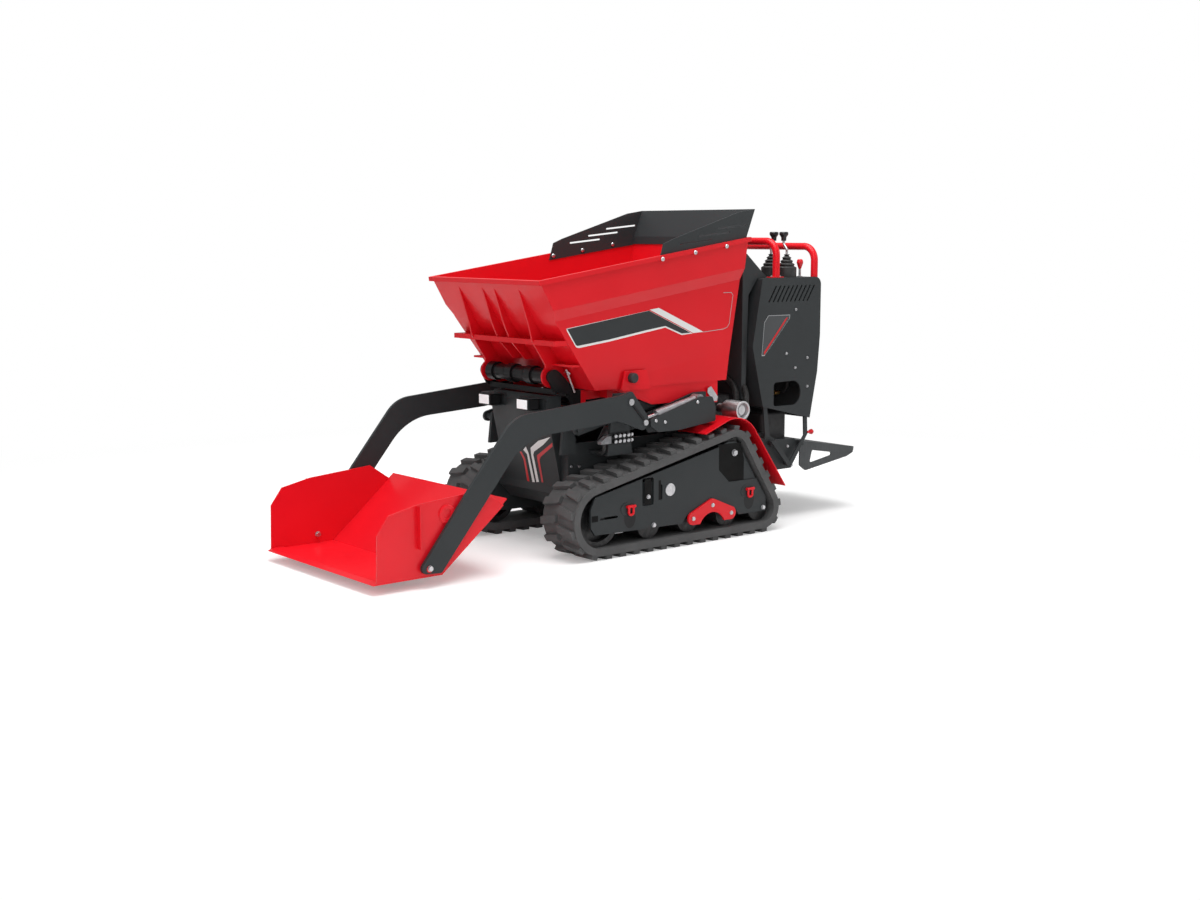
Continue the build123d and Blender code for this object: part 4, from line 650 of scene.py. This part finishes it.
CONSOLE_HOSE = [FITTING_PLACE, (-0.988, 0.150, 0.557), (-1.006, 0.156, 0.572), (-1.010, 0.166, 0.610),
                (-1.008, 0.176, 0.700)]
CONSOLE_ELBOW = [(-0.920, 0.150, 0.556), (-0.890, 0.150, 0.556), (-0.872, 0.150, 0.545),
                 (-0.868, 0.150, 0.500), (-0.868, 0.150, 0.452)]

dress(dark, "console", "console_sides")
fasten("console_bolts", "machine", "console_sides", hexagon_bolt(0.0065), CONSOLE_BOLTS, zinc)
label_grey = paint("grey film", colour=(0.070, 0.074, 0.078), darker=(0.064, 0.068, 0.072), roughness=0.35,
                   coat=0.3, peel=0.0)
label_edge = paint("silver film", colour=(0.42, 0.43, 0.44), darker=(0.38, 0.39, 0.40), roughness=0.35,
                   coat=0.3, peel=0.0)
label_inner = shrunk(LABEL, LABEL_MIDDLE, LABEL_INNER_SHARE, LABEL_INNER_SHARE)
for name, material, outline, y in (("label_edges", label_edge, LABEL, LABEL_EDGE_Y),
                                   ("label_faces", label_grey, label_inner, LABEL_FACE_Y),
                                   ("label_stripes", red_film, LABEL_STRIPE, LABEL_STRIPE_Y)):
    film(name, "machine", material, [upright(outline, side * y) for side in LEFT_AND_RIGHT])
brass = metal("brass", colour=(0.72, 0.50, 0.18), darker=(0.62, 0.42, 0.14), roughness=0.30, grain=400.0)
make("hose_fitting", "machine", brass, *turned(FITTING_PLACE, (1, 0, 0), FITTING))
hose("console_hose", "machine", CONSOLE_HOSE, radius=0.009, material=hose_rubber)
hose("console_elbow", "machine", CONSOLE_ELBOW, radius=0.011, material=hose_rubber)


# Guard hoops: bent red tube. Each foot of the front hoop is welded to a flat flange that
# two small bolts hold down on the console's top.
HOOP_FOOT_Y = 0.2770
FLANGE_HALF_LONG = 0.036
FLANGE_INWARD = 0.020
FLANGE_OUTWARD = 0.016
FLANGE_FOOT_Z = 1.0813
FLANGE_TOP_Z = 1.0855
FLANGE_BOLT_SHIFTS = (-0.027, 0.027)

dress(red, "front_hoop", "rear_hoop")
low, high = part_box("front_hoop")
middle = (low[0] + high[0]) / 2
flanges = []
flange_bolts = []
for side in LEFT_AND_RIGHT:
    inner_y = side * (HOOP_FOOT_Y - FLANGE_INWARD)
    outer_y = side * (HOOP_FOOT_Y + FLANGE_OUTWARD)
    foot = [(middle - FLANGE_HALF_LONG, inner_y), (middle + FLANGE_HALF_LONG, inner_y),
            (middle + FLANGE_HALF_LONG, outer_y), (middle - FLANGE_HALF_LONG, outer_y)]
    flanges.append(raised([(x, y, FLANGE_FOOT_Z) for x, y in foot], [(x, y, FLANGE_TOP_Z) for x, y in foot]))
    for shift in FLANGE_BOLT_SHIFTS:
        bolt_place = (middle + shift, side * HOOP_FOOT_Y, FLANGE_TOP_Z)
        flange_bolts.append(turned(bolt_place, (0, 0, 1), hexagon_bolt(0.005)))
make("hoop_flanges", "machine", red, *gathered(flanges))
make("hoop_flange_bolts", "machine", zinc, *gathered(flange_bolts))


# Controls: pleated rubber boots, thin plated rods with flared black plastic knobs, and
# a red pear shaped knob for the travel speed.
BLACK_KNOB_FOOT = 1.2405
RED_KNOB_FOOT = 1.1160
ROD_TONE = (0.60, 0.60, 0.61)


def rod_and_knob(name, knob_colour, knob_foot):
    """Plated rod below a height and gloss plastic above it."""
    material, tree, shader = new_material(name)
    apart = tree.nodes.new("ShaderNodeSeparateXYZ")
    spot = tree.nodes.new("ShaderNodeNewGeometry")
    tree.links.new(spot.outputs["Position"], apart.inputs[0])
    knob = arithmetic(tree, "GREATER_THAN", apart.outputs["Z"], knob_foot)
    tree.links.new(two_tone(tree, knob, ROD_TONE, knob_colour), shader.inputs["Base Color"])
    tree.links.new(arithmetic(tree, "SUBTRACT", 1.0, knob), shader.inputs["Metallic"])
    tree.links.new(varied(tree, 0.24, 0.36, scale=80.0), shader.inputs["Roughness"])
    link_bump(tree, shader, cloud(tree, scale=300.0), strength=0.05, distance=0.0002)
    return material


dress(hose_rubber, "lever_boots")
dress(rod_and_knob("black knobs on rods", (0.014, 0.014, 0.015), BLACK_KNOB_FOOT), "control_levers")
dress(rod_and_knob("red knob on rod", (0.70, 0.012, 0.020), RED_KNOB_FOOT), "speed_lever")


# Rear carrier, tank and folding step: bolted side plates, a red knob behind the left brace,
# a moulded black fuel tank and a step whose tread is pressed with raised lozenges.
CARRIER_BOLTS = [(-0.836, 0.326), (-0.903, 0.326), (-0.932, 0.236)]
BEHIND_LEFT_BRACE = (-1.5, 0.2925, 0.384)
LATCH_KNOB = [(0.006, 0, 0), (0.005, 0.010, 0), (0.010, 0.018, 0), (0.012, 0.028, 0), (0.007, 0.036, 0)]

dress(dark, "rear_carrier")
fasten("carrier_bolts", "machine", "rear_carrier", hexagon_bolt(0.0065), CARRIER_BOLTS, zinc)
red_plastic = paint("red plastic", colour=(0.66, 0.010, 0.018), darker=(0.60, 0.008, 0.015), roughness=0.30,
                    coat=0.3, peel=0.0)
where, normal = seat("rear_carrier", BEHIND_LEFT_BRACE, (1, 0, 0))
make("step_latch_knob", "machine", red_plastic, *turned(where, (-1, 0, 0), LATCH_KNOB), smooth=True)
plastic, tree, shader = mottled("moulded plastic", ((0.022, 0.022, 0.023), (0.030, 0.030, 0.031)),
                                patches=6.0, roughness=(0.5, 0.7, 40.0))
link_bump(tree, shader, cloud(tree, scale=600.0), strength=0.3, distance=0.0004)
dress(plastic, "rear_tank")
tread, tree, shader = mottled("lozenge tread", ((0.052, 0.056, 0.060), (0.042, 0.046, 0.049)),
                              patches=12.0, roughness=(0.38, 0.55, 40.0))
lozenges = add_node(tree, "ShaderNodeTexVoronoi", Vector=place_of(tree), Scale=55.0, Randomness=0.0)
link_bump(tree, shader, lozenges.outputs["Distance"], strength=0.6, distance=0.0015)
dress(tread, "step")


# Loader arms: thick dark plates. A thin black plate lies between the two pin heads at each arm's
# root, and one plated bolt carries the shovel at its tip.
ARM_RAM_PINS = [(0.079, 0.524)]
ARM_TIP_BOLTS = [(1.112, 0.074)]
PIN_DARK_STRIP = [(0.143, 0.603), (0.149, 0.596), (0.091, 0.533), (0.085, 0.540)]
PIN_DARK_STRIP_INNER_Y = 0.4171
PIN_DARK_STRIP_OUTER_Y = 0.4205


def plates(outline, inner_y, outer_y):
    """A small plate of this (x, z) outline on the left and its twin on the right."""
    return gathered([raised(upright(outline, side * inner_y), upright(outline, side * outer_y))
                     for side in LEFT_AND_RIGHT])


dress(dark, *both_sides("arm"))
fasten("arm_ram_pins", "loader", "arm_left", disc(0.012, 0.006), ARM_RAM_PINS, zinc)
fasten("arm_tip_bolts", "shovel", "shovel", hexagon_bolt(0.011), ARM_TIP_BOLTS, zinc)
make("pin_dark_strips", "loader", black, *plates(PIN_DARK_STRIP, PIN_DARK_STRIP_INNER_Y, PIN_DARK_STRIP_OUTER_Y))


# Shovel: welded red plate with a bevelled cutting edge; a bolt head shows inside each
# cheek, and a welded boss ring stiffens its outside.
CHEEK_BOLT = (1.117, 0.3908, 0.078)
BOSS_X = 1.023
BOSS_Z = 0.262
BOSS = [(0.035, 0, 0), (0.035, 0.004, 0), (0.031, 0.006, 0), (0.020, 0.006, 0), (0.018, 0.002, 0)]

shovel_red = paint("shovel enamel", colour=(0.78, 0.008, 0.018), darker=(0.74, 0.007, 0.016), roughness=0.34,
                   coat=0.15, peel=0.03)
dress(shovel_red, "shovel")
cheek_bolts = []
for side in LEFT_AND_RIGHT:
    bolt_place = (CHEEK_BOLT[0], side * CHEEK_BOLT[1], CHEEK_BOLT[2])
    cheek_bolts.append(turned(bolt_place, (0, -side, 0), hexagon_bolt(0.012)))
make("shovel_bolts", "shovel", zinc, *gathered(cheek_bolts))
fasten("shovel_bosses", "shovel", "shovel", BOSS, [(BOSS_X, BOSS_Z)], shovel_red)


# Rams: zinc plated steel barrels with ground and chromed rods, two for the loader, one that
# lifts the hopper and one that tips it. Each is pinned through a round eye at both ends.
chrome = metal("chromed rod", colour=(0.74, 0.74, 0.76), darker=(0.68, 0.68, 0.70), roughness=0.22,
               grain=900.0)
barrel = metal("plated barrel", colour=(0.42, 0.42, 0.43), darker=(0.34, 0.34, 0.36), roughness=0.52,
               grain=420.0)
dress(barrel, "loader_barrels", "lift_barrel", "tip_barrel")
dress(chrome, "loader_rods", "lift_rod", "tip_rod")


# Lift links, cradle and tip tube: dark links, a red cradle of folded members that is near
# black from x 0.262 forward, painted shade under the hopper's floor, and the black cross tube on which the
# hopper turns. A bright keeper holds its rail.
SHADED_BLACK_FROM_X = 0.262
KEEPER = [(-0.352, 0.637), (-0.334, 0.630), (-0.332, 0.612), (-0.366, 0.574), (-0.386, 0.572),
          (-0.392, 0.590)]
KEEPER_INNER_Y = 0.3402
KEEPER_OUTER_Y = 0.3440

dress(dark, "rear_links", "front_links")
cradle_enamel, tree, shader = new_material("cradle enamel")
apart = tree.nodes.new("ShaderNodeSeparateXYZ")
tree.links.new(place_of(tree), apart.inputs[0])
# Near black from this x forward: painted shade where the hopper's floor overhangs the cradle.
front = arithmetic(tree, "GREATER_THAN", apart.outputs["X"], SHADED_BLACK_FROM_X)
reds = two_tone(tree, cloud(tree, scale=3.0), *RED_TONES)
tree.links.new(two_tone(tree, front, reds, (0.009, 0.009, 0.010)), shader.inputs["Base Color"])
tree.links.new(varied(tree, 0.30, 0.40, scale=9.0), shader.inputs["Roughness"])
shader.inputs["Specular IOR Level"].default_value = ENAMEL_SPECULAR
link_bump(tree, shader, cloud(tree, scale=140.0, detail=2.0), strength=0.03, distance=0.0002)
dress(cradle_enamel, "cradle")
dress(black, "tip_tube")
make("rail_keepers", "cradle_frame", zinc, *plates(KEEPER, KEEPER_INNER_Y, KEEPER_OUTER_Y))


# Hopper: folded and welded sheet in red enamel. A film with white edge lines, a dark band
# and a slanting white stripe runs along its sides, and domed bolts hold the guard on it.
BAND_EDGE = [(0.423, 0.909), (0.418, 0.897), (0.376, 0.839), (0.370, 0.834), (0.3565, 0.8315),
             (0.2088, 0.849), (-0.094, 0.8935), (-0.186, 0.859), (-0.251, 0.8632), (-0.244, 0.865),
             (-0.0016, 0.9657)]
BAND = [(0.4189, 0.9075), (0.4125, 0.899), (0.3745, 0.8445), (0.366, 0.840), (0.2088, 0.8575),
        (0.0, 0.8885), (-0.0936, 0.900), (-0.1861, 0.8655), (-0.236, 0.8665), (-0.0016, 0.9650)]
SLANTING_STRIPE = [(-0.0048, 0.969), (-0.0538, 0.9748), (-0.3099, 0.8669), (-0.251, 0.8648)]
THIN_LINE = [(-0.310, 0.8665), (-0.426, 0.8744), (-0.447, 0.8807), (-0.4584, 0.8956), (-0.4742, 1.0152),
             (-0.4642, 1.0272), (-0.418, 1.0268)]
THIN_LINE_HALF_WIDE = 0.0012
RIM_BOLTS = [(-0.045, 1.171), (-0.224, 1.196), (-0.402, 1.220)]

hopper_red, tree, shader = mottled("hopper enamel", ((0.72, 0.006, 0.014), (0.67, 0.005, 0.012)),
                                   patches=3.0, roughness=(0.32, 0.42, 8.0))
shader.inputs["Specular IOR Level"].default_value = ENAMEL_SPECULAR
shader.inputs["Coat Weight"].default_value = 0.15
shader.inputs["Coat Roughness"].default_value = COAT_ROUGHNESS
link_bump(tree, shader, cloud(tree, scale=140.0, detail=2.0), strength=0.03, distance=0.0002)
dress(hopper_red, "hopper")


def hopper_film(name, material, outlines, lift_off):
    """A film laid on both sides of the hopper, given as (x, z) outlines."""
    laid = []
    for side in LEFT_AND_RIGHT:
        for outline in outlines:
            points = []
            for x, z in outline:
                where, normal = seat("hopper", (x, side * OUTSIDE_Y, z), (0, -side, 0))
                points.append(where + normal * lift_off)
            laid.append(points)
    film(name, "hopper_body", material, laid)


strokes = []
for (x0, z0), (x1, z1) in zip(THIN_LINE, THIN_LINE[1:]):
    run = math.hypot(x1 - x0, z1 - z0)
    side_x = -(z1 - z0) / run * THIN_LINE_HALF_WIDE
    side_z = (x1 - x0) / run * THIN_LINE_HALF_WIDE
    strokes.append([(x0 + side_x, z0 + side_z), (x1 + side_x, z1 + side_z), (x1 - side_x, z1 - side_z),
                    (x0 - side_x, z0 - side_z)])
hopper_film("band_edges", white_film, [BAND_EDGE], lift_off=0.0004)
hopper_film("dark_bands", dark, [BAND], lift_off=0.0008)
hopper_film("slanting_stripes", white_film, [SLANTING_STRIPE], lift_off=0.0012)
hopper_film("thin_outlines", label_edge, strokes, lift_off=0.0006)
fasten("guard_fixing_bolts", "hopper_body", "hopper", dome(0.009), RIM_BOLTS, zinc)


# Spill guard: three dark steel sheets that raise the hopper's rear, slotted at each side
# and held inside its rim by a row of domed bolts.
GUARD_BOLTS = [(-0.060, 1.176), (-0.224, 1.199), (-0.400, 1.224)]

dress(dark, "spill_guard")
fasten("guard_bolts", "hopper_body", "spill_guard", dome(0.009), GUARD_BOLTS, zinc, from_within=True)


# Latch: a plated rod beside the left rib with a clip, which holds the hopper down on its
# cradle in transport, and a black knob cap on the guide block at each side.
LATCH_ROD = [(0.343, 0.240, 0.740), (0.321, 0.240, 0.693), (0.299, 0.240, 0.646)]
LATCH_CLIP = [(0.334, 0.222, 0.727), (0.340, 0.232, 0.733), (0.338, 0.244, 0.730), (0.330, 0.250, 0.722)]
GUIDE_KNOB = [(0.0195, -0.022, 0), (0.0202, -0.021, 0), (0.0202, 0.001, 0), (0.017, 0.004, 0)]
GUIDE_KNOBS = [(0.094, 0.700)]

hose("latch_rod", "hopper_body", LATCH_ROD, radius=0.005, material=zinc)
hose("latch_clip", "hopper_body", LATCH_CLIP, radius=0.004, material=zinc)
fasten("guide_knobs", "cradle_frame", "cradle", GUIDE_KNOB, GUIDE_KNOBS, plastic)
